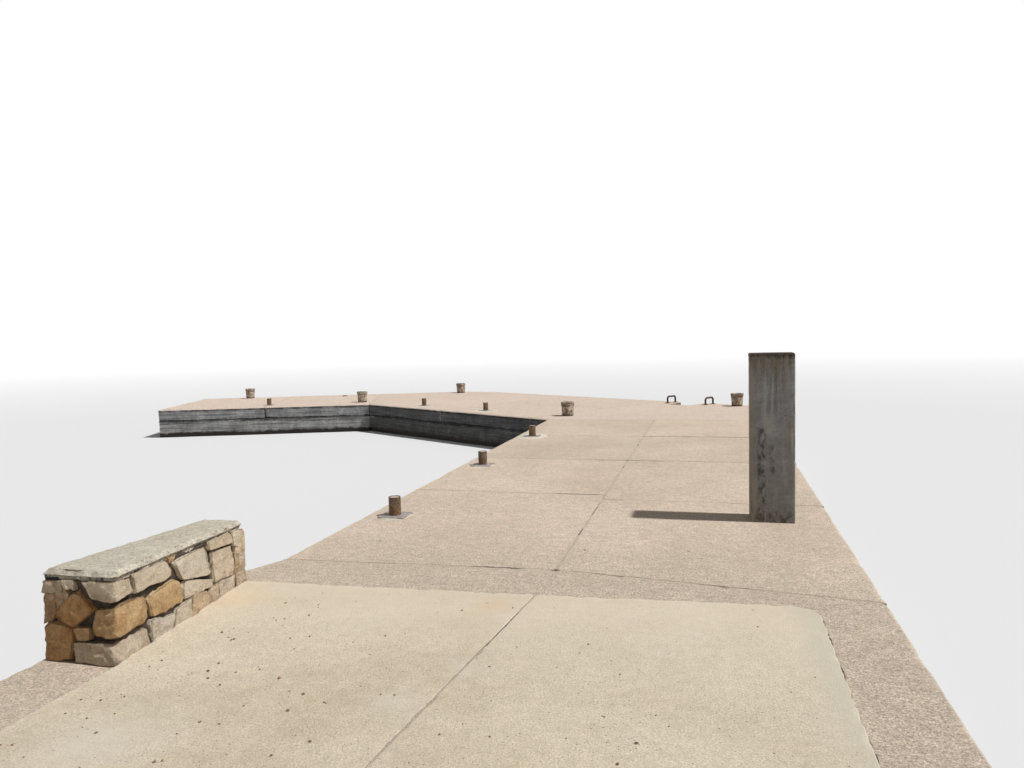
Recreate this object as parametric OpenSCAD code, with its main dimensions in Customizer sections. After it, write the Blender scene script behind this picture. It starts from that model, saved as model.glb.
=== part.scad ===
// Concrete harbour jetty: a straight arm, a head turned to the left and an outer arm turned again,
// cast in two lifts round a small basin, with its mooring gear on the deck.
// Millimetres, +Z up, +Y out along the arm. The origin is on the arm's centreline at the underside,
// where the first bay starts.

/* [Arm] */
// Width of the main arm
arm_w = 4000; // [3400:50:5000]
// Length of one bay of deck slab on the arm
bay_l = 2330; // [2000:10:2800]
// How far the first joint of the left slabs lies beyond that of the right slabs
joint_stagger = 200; // [0:10:400]
// How far the middle of the bent first joint lies beyond the start of the first bay
joint_crown = 50; // [0:5:150]
// How far the first joint's left end lies nearer the shore than the first bay's start
joint_back_left = 60; // [20:5:300]
// How far its right end does
joint_back_right = 240; // [20:5:400]

/* [Lifts] */
// Height of the lower lift, up to the lift joint
base_h = 390; // [250:10:900]
// Thickness of the deck slabs
slab_t = 280; // [220:10:400]
// Width of the open joint between neighbouring slabs
joint_gap = 8; // [3:1:20]
// Chamfer on the outer arris of the deck
arris = 18; // [5:1:40]
// Chamfer under the slabs that makes the groove at the lift joint
groove = 12; // [4:1:30]

/* [Root] */
// Length of the root from its shore end to the first bay
root_l = 3170; // [2600:10:4500]
// Extra width of the root on its left side
root_flare = 270; // [100:10:450]
// Length over which the extra width runs out
flare_l = 720; // [400:10:1000]

/* [Topping] */
// Thickness of the newer topping on the root
topping_t = 22; // [15:1:60]
// Width of the older strip left bare on the right
topping_strip = 400; // [250:10:700]
// Distance of the topping's far right end from the start of the first bay
topping_end = 440; // [200:10:600]
// How much nearer the shore the far edge lies at its left end
topping_skew = 190; // [0:10:300]
// Radius of the topping's far right corner
topping_r = 150; // [60:10:400]
// How far the topping's own joint drifts to the left from its far end to the shore end
topping_joint_drift = 270; // [0:10:500]

/* [Head and outer arm] */
// Angle by which the head turns left from the arm
head_turn = 58; // [45:1:70]
// Width of the head
head_w = 4500; // [3800:50:5200]
// Length of the head's basin wall
head_l = 6150; // [5200:50:7500]
// How far the elbow's slab runs on into the head
elbow_tail = 500; // [400:10:800]
// Angle by which the outer arm turns left from the head
outer_turn = 51; // [40:1:60]
// Width of the outer arm
outer_w = 3600; // [3000:50:4200]
// Length of the outer arm's basin wall
outer_l = 5100; // [4200:50:7000]
// Radius of the nose between the head and the outer arm
nose_r = 1900; // [900:50:2000]
// Number of straight shutters round the nose
nose_boards = 6; // [3:1:10]
// Least straight edge left between the nose and the joint beside it
nose_end = 60; // [50:5:80]

/* [Boarding recess] */
// Width of the recess along the outer edge
recess_w = 620; // [500:10:750]
// Depth of the recess into the deck
recess_d = 650; // [500:10:800]
// Distance of the recess from the far right corner of the deck
recess_from_corner = 1320; // [1150:10:1400]
// Rise of each step in the recess
step_rise = 225; // [150:5:260]
// Number of steps in the recess
step_n = 2; // [1:1:2]
// Bar diameter of the hoops beside the recess
hoop_bar = 42; // [25:1:60]
// Width of a hoop between the middles of its legs
hoop_w = 300; // [200:5:340]
// Height of a hoop above the deck
hoop_h = 170; // [145:5:400]
// Bend radius of a hoop
hoop_r = 60; // [45:5:75]
// Distance of the right hoop from the recess
hoop_side_right = 250; // [60:5:300]
// Distance of the left hoop from the recess
hoop_side_left = 75; // [60:5:120]
// Distance of the right hoop's middle from the outer edge
hoop_setback_right = 230; // [230:10:500]
// Distance of the left hoop's middle from the outer edge
hoop_setback_left = 300; // [230:10:600]
// Side of the plate under each hoop leg
hoop_foot = 90; // [70:5:120]
// Thickness of that plate
hoop_foot_t = 8; // [5:1:12]

/* [Square post] */
// Width of the post across the arm
post_w = 360; // [250:5:450]
// Thickness of the post along the arm
post_t = 300; // [220:5:400]
// Height of the post above the deck
post_h = 1400; // [900:10:1800]
// Distance of the post from the deck's right edge
post_edge = 310; // [200:10:600]
// Distance of the post's near face from the start of the first bay
post_y = 1610; // [400:10:1900]
// Chamfer on the post's edges
post_chamfer = 8; // [3:1:20]

/* [Bollards] */
// Diameter of a bollard at its lip
bollard_d = 270; // [220:5:340]
// Diameter of a bollard at its foot
bollard_foot_d = 222; // [180:2:260]
// Height of a bollard
bollard_h = 275; // [220:5:380]
// Height of the lip band
lip_h = 58; // [35:1:80]
// How far the lip stands out from the body
lip_out = 11; // [6:1:18]
// Chamfer above and below the lip band
lip_chamfer = 5; // [2:1:10]
// Depth of the dish in a bollard's top
dish_t = 14; // [6:1:30]
// Width of the flat rim round the dish
rim_w = 28; // [15:1:45]
// Width of the dish's sloping side
dish_side = 11; // [4:1:20]
// Distance of the basin-side bollards from the edge that they stand along
bollard_setback = 260; // [200:10:450]
// Distance of a corner bollard from the other edge at its corner
bollard_corner = 720; // [500:10:900]
// Distance of the outer arm's bollard from that arm's end
bollard_from_end = 1360; // [1000:20:1800]
// Distance of the seaward bollards from the edge that they stand along
bollard_sea_edge = 450; // [250:10:600]

/* [Mooring posts] */
// Outer diameter of a mooring post's pipe
pipe_d = 108; // [80:1:140]
// Wall of the pipe
pipe_wall = 6; // [4:0.5:10]
// Height of a mooring post above the deck
pipe_h = 175; // [130:5:260]
// Height by which the concrete fill stays below the pipe's rim
fill_down = 5; // [2:1:12]
// Side of the square base plate
plate_w = 250; // [200:5:320]
// Thickness of the base plate
plate_t = 12; // [8:1:20]
// Radius of the base plate's corners
plate_r = 20; // [8:1:40]
// Distance of the mooring posts from the arm's basin edge
mooring_edge_arm = 270; // [200:10:400]
// Distance of the mooring posts from the basin edge on the head and outer arm
mooring_edge_head = 500; // [250:10:600]
// Place of the first mooring post along the arm
mooring_first = 1360; // [600:10:1800]
// Spacing of the mooring posts on the arm
mooring_pitch = 2740; // [2500:10:2900]
// Place of the first mooring post along the head's basin wall
mooring_head_first = 2350; // [1800:10:2700]
// Spacing of the mooring posts on the head
mooring_head_pitch = 2210; // [2000:10:2500]
// Distance of the outer arm's mooring post past its middle joint
mooring_past_joint = 0; // [-400:10:600]

/* [Deck ring] */
// Outer diameter of the mooring ring
ring_d = 130; // [90:5:180]
// Bar diameter of the ring
ring_bar = 16; // [10:1:24]
// Diameter of the ring's base disc
ring_base_d = 80; // [50:5:100]
// Thickness of the ring's base disc
ring_base_t = 8; // [5:1:12]
// Diameter of the staple that holds the ring
staple_d = 24; // [18:1:36]
// Height of the staple above its base disc
staple_h = 24; // [18:1:40]
// Distance of the ring's staple from the outer arm's seaward edge
ring_edge = 540; // [300:10:900]
// Place of the ring's staple along the outer arm
ring_along = 1060; // [600:10:1500]

/* [Parapet] */
// Thickness of the rubble parapet at its near end
parapet_near_t = 440; // [320:10:480]
// Thickness of the rubble parapet at its far end
parapet_far_t = 300; // [240:10:400]
// Length of the rubble parapet
parapet_l = 1280; // [700:10:1600]
// Height of the rubble up to its coping at its near end
parapet_near_h = 415; // [250:5:700]
// Height of the rubble up to its coping at its far end
parapet_far_h = 370; // [250:5:700]
// Thickness of the mortar coping
coping_t = 55; // [30:5:90]
// Radius of the parapet's two corners beside the path
parapet_r = 70; // [30:5:100]
// Distance of the parapet's outer face from the root's side
parapet_in = 40; // [10:5:80]

/* [Hidden] */

arm_bays = 4;
head_bays = 2;
outer_bays = 2;
arm_l = arm_bays * bay_l;
deck_z = base_h + slab_t;
outer_angle = head_turn + outer_turn;
step_go = recess_d / step_n;
parapet_x = -arm_w / 2 - root_flare + parapet_in;
topping_right_x = arm_w / 2 - topping_strip;
topping_left_x = parapet_x + parapet_near_t;

// Half of the open joint, by which each slab is drawn in
half_gap = joint_gap / 2;
// Numbers of a bay outline's edges on its right, at its far end and on its left
right_edge = 0;
end_edge = 1;
left_edge = 2;
// Numbers of the other blocks' edges that face the air, all but those at joints and on the shore
root_free = [1, 4, 5];
elbow_free = [0, 1, 3];
corner_free = [for (i = [0:nose_boards + 1]) i];
outer_end_free = [right_edge, end_edge, left_edge];
// How far a cut runs past a face, and a chamfer past a corner
over = 1;
mitre_run = 600;
// Facets of a full circle, and steps of a corner's arc
round_fn = 64;
corner_steps = 6;

concrete = [0.78, 0.71, 0.62];
old_concrete = [0.52, 0.50, 0.46];
pale_concrete = [0.85, 0.79, 0.67];
post_concrete = [0.45, 0.42, 0.38];
bollard_concrete = [0.70, 0.64, 0.55];
rust = [0.36, 0.24, 0.17];
limestone = [0.76, 0.64, 0.49];
mortar = [0.80, 0.77, 0.71];

// Directions along a straight that is turned left by angle a, and out of its right-hand side
function along(a) = [-sin(a), cos(a)];
function outward(a) = [cos(a), sin(a)];

// The two corners on the basin side, which the head and the outer arm are set out from
inner_corner = [-arm_w / 2, arm_l];
basin_corner = inner_corner + head_l * along(head_turn);

// A line is a point and a direction; these are the lines that the three straights are set out with
function arm_line(x) = [[x, 0], along(0)];
function arm_cross(y) = [[0, y], outward(0)];
function head_line(t) = [inner_corner + t * outward(head_turn), along(head_turn)];
function head_cross(s) = [inner_corner + s * along(head_turn), outward(head_turn)];
function outer_line(t) = [basin_corner + t * outward(outer_angle), along(outer_angle)];
function outer_cross(s) = [basin_corner + s * along(outer_angle), outward(outer_angle)];

// The point where two lines cross, and the outline that a ring of lines encloses
function turn_of(u, v) = u.x * v.y - u.y * v.x;
function meet(l, m) = l[0] + l[1] * turn_of(m[0] - l[0], m[1]) / turn_of(l[1], m[1]);
function cell(lines) = [for (i = [0:len(lines) - 1]) meet(lines[i], lines[(i + 1) % len(lines)])];

// The first joint is bent: from its middle each half runs back towards the shore
function first_joint(left, g) = [
    [0, joint_crown + g],
    [arm_w / 2, left ? joint_crown + joint_back_left : -joint_crown - joint_back_right]];

// Where the deck's other joints lie; the left slabs' next joint is staggered
function arm_joint(k, left) = k * bay_l + (left && k == 1 ? joint_stagger : 0);
function head_joint(k) = elbow_tail + k * (head_l - elbow_tail) / head_bays;
function outer_joint(k) = k * outer_l / outer_bays;

// Outlines of the blocks, each drawn in by half a joint where another block follows
function root_outline(g) = [
    [-arm_w / 2 - root_flare, -root_l], [arm_w / 2, -root_l],
    meet(arm_line(arm_w / 2), first_joint(false, -g)), [0, joint_crown - g],
    meet(arm_line(-arm_w / 2), first_joint(true, -g)), [-arm_w / 2 - root_flare, -flare_l]];
function arm_outline(k, left, g) = cell([
    k == 1 ? first_joint(left, g) : arm_cross(arm_joint(k - 1, left) + g),
    arm_line(left ? -g : arm_w / 2),
    arm_cross(arm_joint(k, left) - g),
    arm_line(left ? -arm_w / 2 : g)]);
function elbow_outline(g) = cell([
    arm_cross(arm_l + g), arm_line(arm_w / 2), head_line(head_w),
    head_cross(elbow_tail - g), head_line(0)]);
function head_outline(k, t0, t1, g) = cell([
    head_cross(head_joint(k - 1) + g), head_line(t1), head_cross(head_joint(k) - g), head_line(t0)]);
function outer_outline(k, g) = cell([
    outer_cross(outer_joint(k - 1) + g), outer_line(outer_w),
    outer_cross(outer_joint(k) - (k < outer_bays ? g : 0)), outer_line(0)]);

// Outlines of the lower lift's blocks where they differ from the slabs above them
function arm_base_near() = cell([
    first_joint(true, 0), first_joint(false, 0), arm_line(arm_w / 2), arm_cross(arm_l / 2),
    arm_line(-arm_w / 2)]);
function arm_base_far() = cell([
    arm_cross(arm_l / 2), arm_line(arm_w / 2), arm_cross(arm_l), arm_line(-arm_w / 2)]);
function head_base() = cell([
    head_cross(elbow_tail), head_line(head_w), head_cross(head_l), head_line(0)]);
function outer_base() = cell([
    outer_cross(0), outer_line(outer_w), outer_cross(outer_l), outer_line(0)]);

// The corner block's rounded nose is an arc of straight shutters between its two outer edges.
// Its radius is limited by the shorter of the two.
outer_corner = meet(head_line(head_w), outer_line(outer_w));
nose_room = min(norm(outer_corner - meet(head_cross(head_l), head_line(head_w))),
                norm(outer_corner - meet(outer_cross(0), outer_line(outer_w))));
nose_fit_r = min(nose_r, (nose_room - nose_end) / tan(outer_turn / 2));
nose_centre = meet(head_line(head_w - nose_fit_r), outer_line(outer_w - nose_fit_r));
function nose_arc() = [for (i = [0:nose_boards])
    nose_centre + nose_fit_r * outward(head_turn + outer_turn * i / nose_boards)];
function corner_outline(g) = concat(
    [meet(head_cross(head_l + g), head_line(head_w))],
    nose_arc(),
    [meet(outer_line(outer_w), outer_cross(-g)), meet(outer_cross(-g), head_cross(head_l + g))]);

// One chamfer cutter along the edge from p to q at height z: a bar of square section with one face
// in the chamfer's plane. It cuts under the edge for side 1 and over it for side -1, and runs on
// past both ends, so that chamfers meet in a mitre at every corner.
module arris_cut(p, q, z, c, side) {
    d = q - p;
    bar = 3 * c;
    translate([p.x, p.y, z])
        rotate([0, 0, atan2(d.y, d.x)])
            rotate([side * 45, 0, 0])
                translate([-mitre_run, -bar / 2, side > 0 ? -c / sqrt(2) : c / sqrt(2) - bar])
                    cube([norm(d) + 2 * mitre_run, bar, bar]);
}

// A block's outline, with each corner between two of its free edges cut off by the arris
function is_free(i, free) = len([for (f = free) if (f == i) f]) > 0;
function toward(p, q) = p + arris * (q - p) / norm(q - p);
function eased(outline, free) = let (n = len(outline)) [
    for (i = [0:n - 1])
        let (p = outline[i], last = (i + n - 1) % n)
            each is_free(last, free) && is_free(i, free)
                ? [toward(p, outline[last]), toward(p, outline[(i + 1) % n])] : [p]];

// A deck slab: its outline raised, with chamfers on the edges that face the air
module slab(outline, free) {
    color(concrete)
        difference() {
            translate([0, 0, base_h]) linear_extrude(slab_t) polygon(eased(outline, free));
            for (i = free) {
                p = outline[i];
                q = outline[(i + 1) % len(outline)];
                arris_cut(p, q, deck_z, arris, 1);
                arris_cut(p, q, base_h, groove, -1);
            }
        }
}

// A block of the lower lift, whose corners line up with the slab above
module lower_lift(outline, free) {
    color(old_concrete) linear_extrude(base_h) polygon(eased(outline, free));
}

// The boarding recess is set out from the far right corner of the deck, along its outer edge
seaward_corner = meet(arm_line(arm_w / 2), head_line(head_w));
module at_outer_edge(s, t) {
    p = seaward_corner + s * along(head_turn) - t * outward(head_turn);
    translate([p.x, p.y, 0]) rotate([0, 0, head_turn + 90]) children();
}
module recess_cut() {
    at_outer_edge(recess_from_corner, recess_d)
        translate([0, -recess_d - over, -over]) cube([recess_w, recess_d + over, deck_z + 2 * over]);
}

module elbow_base() {
    difference() {
        lower_lift(elbow_outline(0), elbow_free);
        recess_cut();
    }
}
module elbow_slab() {
    difference() {
        slab(elbow_outline(half_gap), elbow_free);
        recess_cut();
    }
}

// The steps are one casting that fills the recess up to its lowest tread and rises to the deck
module boarding_steps() {
    color(old_concrete)
        at_outer_edge(recess_from_corner, recess_d)
            rotate([90, 0, 90])
                linear_extrude(recess_w)
                    polygon(concat(
                        [[-recess_d, 0], [0, 0]],
                        [for (i = [1:step_n]) each [
                            [-(i - 1) * step_go, deck_z - i * step_rise],
                            [-i * step_go, deck_z - i * step_rise]]]));
}

// One hoop of bent bar: two legs, two bends and a top, on a square foot plate under each leg
module hoop() {
    leg_h = hoop_h - hoop_bar / 2 - hoop_r;
    top_l = hoop_w - 2 * hoop_r;
    for (side = [0, 1])
        mirror([side, 0, 0]) {
            translate([hoop_w / 2, 0, 0]) cylinder(h = leg_h, d = hoop_bar, $fn = round_fn);
            translate([(hoop_w - hoop_foot) / 2, -hoop_foot / 2, 0])
                cube([hoop_foot, hoop_foot, hoop_foot_t]);
            translate([top_l / 2, 0, leg_h])
                rotate([90, 0, 0])
                    rotate_extrude(angle = 90, $fn = round_fn)
                        translate([hoop_r, 0]) circle(d = hoop_bar, $fn = round_fn);
        }
    translate([-top_l / 2, 0, leg_h + hoop_r])
        rotate([0, 90, 0]) cylinder(h = top_l, d = hoop_bar, $fn = round_fn);
}
module boarding_hoops() {
    far_side = recess_from_corner + recess_w + hoop_side_left;
    color(rust)
        translate([0, 0, deck_z]) {
            at_outer_edge(recess_from_corner - hoop_side_right, hoop_setback_right)
                rotate([0, 0, 90]) hoop();
            at_outer_edge(far_side, hoop_setback_left) rotate([0, 0, 90]) hoop();
        }
}

module square_post() {
    color(post_concrete)
        translate([arm_w / 2 - post_edge - post_w, post_y, deck_z])
            difference() {
                cube([post_w, post_t, post_h]);
                for (x = [0, post_w], y = [0, post_t])
                    translate([x, y, -over])
                        rotate([0, 0, 45])
                            translate([-post_chamfer / sqrt(2), -post_chamfer / sqrt(2), 0])
                                cube([post_chamfer * sqrt(2), post_chamfer * sqrt(2),
                                      post_h + 2 * over]);
            }
}

// A bollard is turned about its axis: a tapered pot with a lip band and a dished top
module bollard(p) {
    r = bollard_d / 2;
    rim_r = r - lip_chamfer;
    color(bollard_concrete)
        translate([p.x, p.y, deck_z])
            rotate_extrude($fn = round_fn)
                polygon([
                    [0, 0],
                    [bollard_foot_d / 2, 0],
                    [r - lip_out, bollard_h - lip_h - lip_chamfer],
                    [r, bollard_h - lip_h],
                    [r, bollard_h - lip_chamfer],
                    [rim_r, bollard_h],
                    [rim_r - rim_w, bollard_h],
                    [rim_r - rim_w - dish_side, bollard_h - dish_t],
                    [0, bollard_h - dish_t]]);
}

// Where the bollards stand, one at each corner of the plan and one near the outer arm's end
bollard_spots = [
    meet(arm_line(-arm_w / 2 + bollard_setback), head_line(bollard_corner)),
    meet(head_line(head_w - bollard_corner), outer_line(outer_w - bollard_sea_edge)),
    meet(head_line(bollard_setback), outer_line(bollard_corner)),
    meet(outer_line(outer_w - bollard_setback), outer_cross(outer_l - bollard_from_end)),
    meet(arm_line(arm_w / 2 - bollard_sea_edge), head_line(head_w - bollard_setback))];

// The six mooring posts along the basin, each with the angle its plate is turned by
mooring_spots = concat(
    [for (i = [0:2]) [[-arm_w / 2 + mooring_edge_arm, mooring_first + i * mooring_pitch], 0]],
    [for (i = [0:1]) [meet(head_line(mooring_edge_head),
        head_cross(mooring_head_first + i * mooring_head_pitch)), head_turn]],
    [[meet(outer_line(mooring_edge_head), outer_cross(outer_joint(1) + mooring_past_joint)), outer_angle]]);

module at_mooring(i) {
    translate([mooring_spots[i][0].x, mooring_spots[i][0].y, deck_z])
        rotate([0, 0, mooring_spots[i][1]])
            children();
}
module mooring_pipe(i) {
    color(rust)
        at_mooring(i)
            translate([0, 0, plate_t])
                difference() {
                    cylinder(h = pipe_h - plate_t, d = pipe_d, $fn = round_fn);
                    translate([0, 0, -over])
                        cylinder(h = pipe_h + 2 * over, d = pipe_d - 2 * pipe_wall, $fn = round_fn);
                }
}
module mooring_fills() {
    color(bollard_concrete)
        for (i = [0:len(mooring_spots) - 1])
            at_mooring(i)
                translate([0, 0, plate_t])
                    cylinder(h = pipe_h - plate_t - fill_down, d = pipe_d - 2 * pipe_wall,
                             $fn = round_fn);
}
module mooring_plates() {
    color(rust)
        for (i = [0:len(mooring_spots) - 1])
            at_mooring(i)
                linear_extrude(plate_t)
                    rounded_square(plate_w, plate_w, plate_r);
}

// A centred rectangle with four rounded corners
module rounded_square(w, l, r) {
    square([w - 2 * r, l], center = true);
    square([w, l - 2 * r], center = true);
    for (x = [-1, 1], y = [-1, 1])
        translate([x * (w / 2 - r), y * (l / 2 - r)]) circle(r, $fn = round_fn);
}

// A ring lying on the deck, held by the round staple on its base disc
module deck_ring() {
    p = meet(outer_line(outer_w - ring_edge), outer_cross(ring_along));
    bend_r = (ring_d - ring_bar) / 2;
    color(rust)
        translate([p.x, p.y, deck_z]) {
            cylinder(h = ring_base_t, d = ring_base_d, $fn = round_fn);
            translate([bend_r, 0, ring_base_t + ring_bar / 2])
                rotate_extrude($fn = round_fn)
                    translate([bend_r, 0]) circle(d = ring_bar, $fn = round_fn);
            cylinder(h = ring_base_t + staple_h, d = staple_d, $fn = round_fn);
        }
}

// The topping's far edge is skewed; its right corner is rounded, and it stops at the parapet
module topping_outline() {
    far_y = -topping_end;
    right = topping_right_x;
    left = topping_left_x;
    slope = topping_skew / (right - left);
    difference() {
        polygon([[left, -root_l], [right, -root_l], [right, far_y], [left, far_y - topping_skew]]);
        translate([right - topping_r, far_y - topping_r - topping_r * slope])
            difference() {
                square(2 * topping_r);
                circle(topping_r, $fn = round_fn);
            }
    }
}
// The joint between the topping's halves drifts to the left towards the shore end
topping_joint = [[0, -topping_end], [topping_joint_drift, root_l - topping_end]];
module topping_half(side) {
    g = [side * half_gap, 0];
    far = meet(topping_joint, arm_cross(0)) + g;
    near = meet(topping_joint, arm_cross(-root_l)) + g;
    reach = side * arm_w;
    color(pale_concrete)
        translate([0, 0, deck_z])
            linear_extrude(topping_t)
                intersection() {
                    topping_outline();
                    polygon([far, near, [reach, -root_l], [reach, 0]]);
                }
}

// The parapet narrows away from the shore. Its far end stands where the root's flared side runs out
// under its outer face, and the two corners beside the path are rounded.
parapet_far_y = meet([[-arm_w / 2 - root_flare, -flare_l], [root_flare, flare_l - joint_back_left]],
                     arm_line(parapet_x)).y;
function arc(centre, r, from, to) = [for (i = [0:corner_steps])
    centre + r * outward(from + (to - from) * i / corner_steps)];
module parapet_outline() {
    r = parapet_r;
    run = [parapet_far_t - parapet_near_t, parapet_l];
    lean = atan2(-run.x, run.y);
    inset = [[parapet_near_t, 0] - r * outward(lean), run];
    near = meet(inset, [[0, r], [1, 0]]);
    far = meet(inset, [[0, parapet_l - r], [1, 0]]);
    translate([parapet_x, parapet_far_y - parapet_l])
        polygon(concat([[0, parapet_l], [0, 0]], arc(near, r, -90, lean), arc(far, r, lean, 90)));
}
// Its top falls away from the shore too: a band of it lies between two heights, each given at the
// near end and at the far end, and runs on past both ends before the outline cuts it
module parapet_band(low, high) {
    past = parapet_l / 2;
    function at(h, y) = [y, h[0] + (h[1] - h[0]) * y / parapet_l];
    intersection() {
        linear_extrude(max(high) + over) parapet_outline();
        translate([parapet_x - over, parapet_far_y - parapet_l, 0])
            rotate([90, 0, 90])
                linear_extrude(parapet_near_t + 2 * over)
                    polygon([at(low, -past), at(low, parapet_l + past),
                             at(high, parapet_l + past), at(high, -past)]);
    }
}
rubble_top = [parapet_near_h, parapet_far_h];
module parapet_rubble() {
    color(limestone) translate([0, 0, deck_z]) parapet_band([-over, -over], rubble_top);
}
module parapet_coping() {
    color(mortar)
        translate([0, 0, deck_z]) parapet_band(rubble_top, rubble_top + [coping_t, coping_t]);
}

lower_lift(root_outline(0), root_free);  // lower_lift_root
lower_lift(arm_base_near(), []);  // lower_lift_arm_near
lower_lift(arm_base_far(), []);  // lower_lift_arm_far
elbow_base();  // lower_lift_elbow
lower_lift(head_base(), []);  // lower_lift_head
lower_lift(corner_outline(0), corner_free);  // lower_lift_corner
lower_lift(outer_base(), outer_end_free);  // lower_lift_outer_arm
slab(root_outline(half_gap), root_free);  // root_slab
for (k = [1:arm_bays]) {
    slab(arm_outline(k, true, half_gap), [left_edge]);
    slab(arm_outline(k, false, half_gap), [right_edge]);
}
elbow_slab();
for (k = [1:head_bays]) {
    slab(head_outline(k, 0, head_w / 2 - half_gap, half_gap), [left_edge]);
    slab(head_outline(k, head_w / 2 + half_gap, head_w, half_gap), [right_edge]);
}
slab(corner_outline(half_gap), corner_free);  // corner_slab
for (k = [1:outer_bays])
    slab(outer_outline(k, half_gap), k < outer_bays ? [right_edge, left_edge] : outer_end_free);
topping_half(-1);  // topping_left
topping_half(1);  // topping_right
parapet_rubble();
parapet_coping();
square_post();
bollard(bollard_spots[0]);  // bollard_inner_corner
bollard(bollard_spots[1]);  // bollard_nose
bollard(bollard_spots[2]);  // bollard_basin_corner
bollard(bollard_spots[3]);  // bollard_outer_end
bollard(bollard_spots[4]);  // bollard_seaward
for (i = [0:len(mooring_spots) - 1])
    mooring_pipe(i);
mooring_fills();
mooring_plates();
boarding_steps();
boarding_hoops();
deck_ring();
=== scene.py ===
import itertools
import math

import bpy
import numpy as np
from mathutils import Matrix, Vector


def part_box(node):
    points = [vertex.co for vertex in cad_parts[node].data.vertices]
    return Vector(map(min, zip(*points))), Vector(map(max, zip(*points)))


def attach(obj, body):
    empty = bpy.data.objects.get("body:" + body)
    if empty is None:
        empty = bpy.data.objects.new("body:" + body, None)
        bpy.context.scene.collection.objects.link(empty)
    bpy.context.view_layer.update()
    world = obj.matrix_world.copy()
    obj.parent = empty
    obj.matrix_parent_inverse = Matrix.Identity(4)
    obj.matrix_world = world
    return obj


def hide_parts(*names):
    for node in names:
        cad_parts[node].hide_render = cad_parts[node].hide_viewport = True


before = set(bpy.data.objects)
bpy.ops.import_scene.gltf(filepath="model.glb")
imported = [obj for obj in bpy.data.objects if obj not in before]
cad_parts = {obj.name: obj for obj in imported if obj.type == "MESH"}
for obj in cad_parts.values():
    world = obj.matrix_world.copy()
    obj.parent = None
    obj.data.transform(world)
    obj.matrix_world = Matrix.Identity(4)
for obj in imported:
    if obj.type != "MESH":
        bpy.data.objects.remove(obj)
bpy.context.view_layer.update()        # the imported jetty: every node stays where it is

nodes = sorted(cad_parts)
wallLow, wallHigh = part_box("parapet_rubble")
levels = {"lift": 0.39, "deck": 0.67, "topping": 0.692}      # metres above the underside
print("frame loaded:", len(nodes), "nodes")


# Smooth noise, worked out for whole arrays of points

def latticeValue(cell, seed):
    # a value from 0 to 1 for each whole-number cell: its coordinates times large odd numbers, mixed
    n = cell[..., 0] * 73856093 ^ cell[..., 1] * 19349663 ^ cell[..., 2] * 83492791 ^ seed * 26544357
    n = (n ^ (n >> 13)) * 1274126177
    return ((n ^ (n >> 16)) & 0xffff) / 65535.0


def lumps(points, size, seed):
    # from -1 to 1: the values at the eight corners of a point's cell, blended smoothly between them
    q = np.asarray(points, float) / size + 500.0
    cell = np.floor(q).astype(np.int64)
    part = q - cell
    part = part * part * (3 - 2 * part)
    total = 0.0
    for corner in itertools.product((0, 1), repeat=3):
        weight = np.prod(np.where(np.array(corner) == 1, part, 1 - part), axis=-1)
        total = total + weight * latticeValue(cell + np.array(corner), seed)
    return total * 2 - 1


def rubble(points, size, seed, octaves=3):
    # lumps of falling size added up, each half as large and half as strong as the one before
    total = sum(lumps(points, size / 2 ** k, seed + 7 * k) / 2 ** k for k in range(octaves))
    return total / (2 - 2 ** (1 - octaves))


def chips(points, size, start, seed):
    # zero but for scattered bites: what of the noise stands above the start value
    return np.clip(rubble(points, size, seed) - start, 0, 1)


def flatRun(run):
    # plan points at height 0, for the noise
    return np.column_stack([run, np.zeros(len(run))])


# Putting surfaces together

def surface(points, loops, sizes, **marks):
    # one surface: its points, its faces' corner numbers in a row, each face's size, and marks per point
    marks = {k: np.broadcast_to(np.asarray(v, float), len(points)) for k, v in marks.items()}
    return {"points": np.asarray(points, float), "loops": loops, "sizes": sizes, "marks": marks}


def joined(parts):
    # surfaces in one list of points, each one's corner numbers moved up by the points before it
    starts = np.cumsum([0] + [len(p["points"]) for p in parts])
    names = sorted(set().union(*[p["marks"] for p in parts]))
    marks = {n: np.concatenate([p["marks"].get(n, np.zeros(len(p["points"]))) for p in parts])
             for n in names}
    return {"points": np.concatenate([p["points"] for p in parts]),
            "loops": np.concatenate([p["loops"] + s for p, s in zip(parts, starts)]),
            "sizes": np.concatenate([p["sizes"] for p in parts]), "marks": marks}


def gridFaces(rows, columns):
    # four-sided faces between neighbouring rows of points, closed round along each row
    r = np.arange(rows - 1)[:, None]
    c = np.arange(columns)[None, :]
    d = (c + 1) % columns
    quads = [r * columns + c, (r + 1) * columns + c, (r + 1) * columns + d, r * columns + d]
    return np.stack(quads, axis=-1).reshape(-1, 4)


def ringStack(rings, topPole=None, **marks):
    # rings of equal count from the top outwards and down; a pole closes the top with a fan of
    # triangles, and an end without one is closed by one flat face
    rows, count = rings.shape[0], rings.shape[1]
    points = rings.reshape(-1, 3)
    quads = gridFaces(rows, count)
    around = np.arange(count)
    if topPole is None:
        cap, capSizes = around, [count]
    else:
        fan = np.stack([np.full(count, len(points)), around, (around + 1) % count], 1)
        cap, capSizes = fan.ravel(), np.full(count, 3)
        points = np.concatenate([points, np.array([topPole], float)])
    spare = np.zeros(len(points) - rows * count)
    marks = {k: np.concatenate([np.broadcast_to(v, (rows, count)).ravel(), spare])
             for k, v in marks.items()}
    loops = [quads.ravel(), cap, (rows - 1) * count + around[::-1]]
    sizes = [np.full(len(quads), 4), capSizes, [count]]
    return surface(points, np.concatenate(loops), np.concatenate(sizes), **marks)


def placed(name, data):
    made = bpy.data.objects.new(name, data)
    bpy.context.scene.collection.objects.link(made)
    return made


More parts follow.
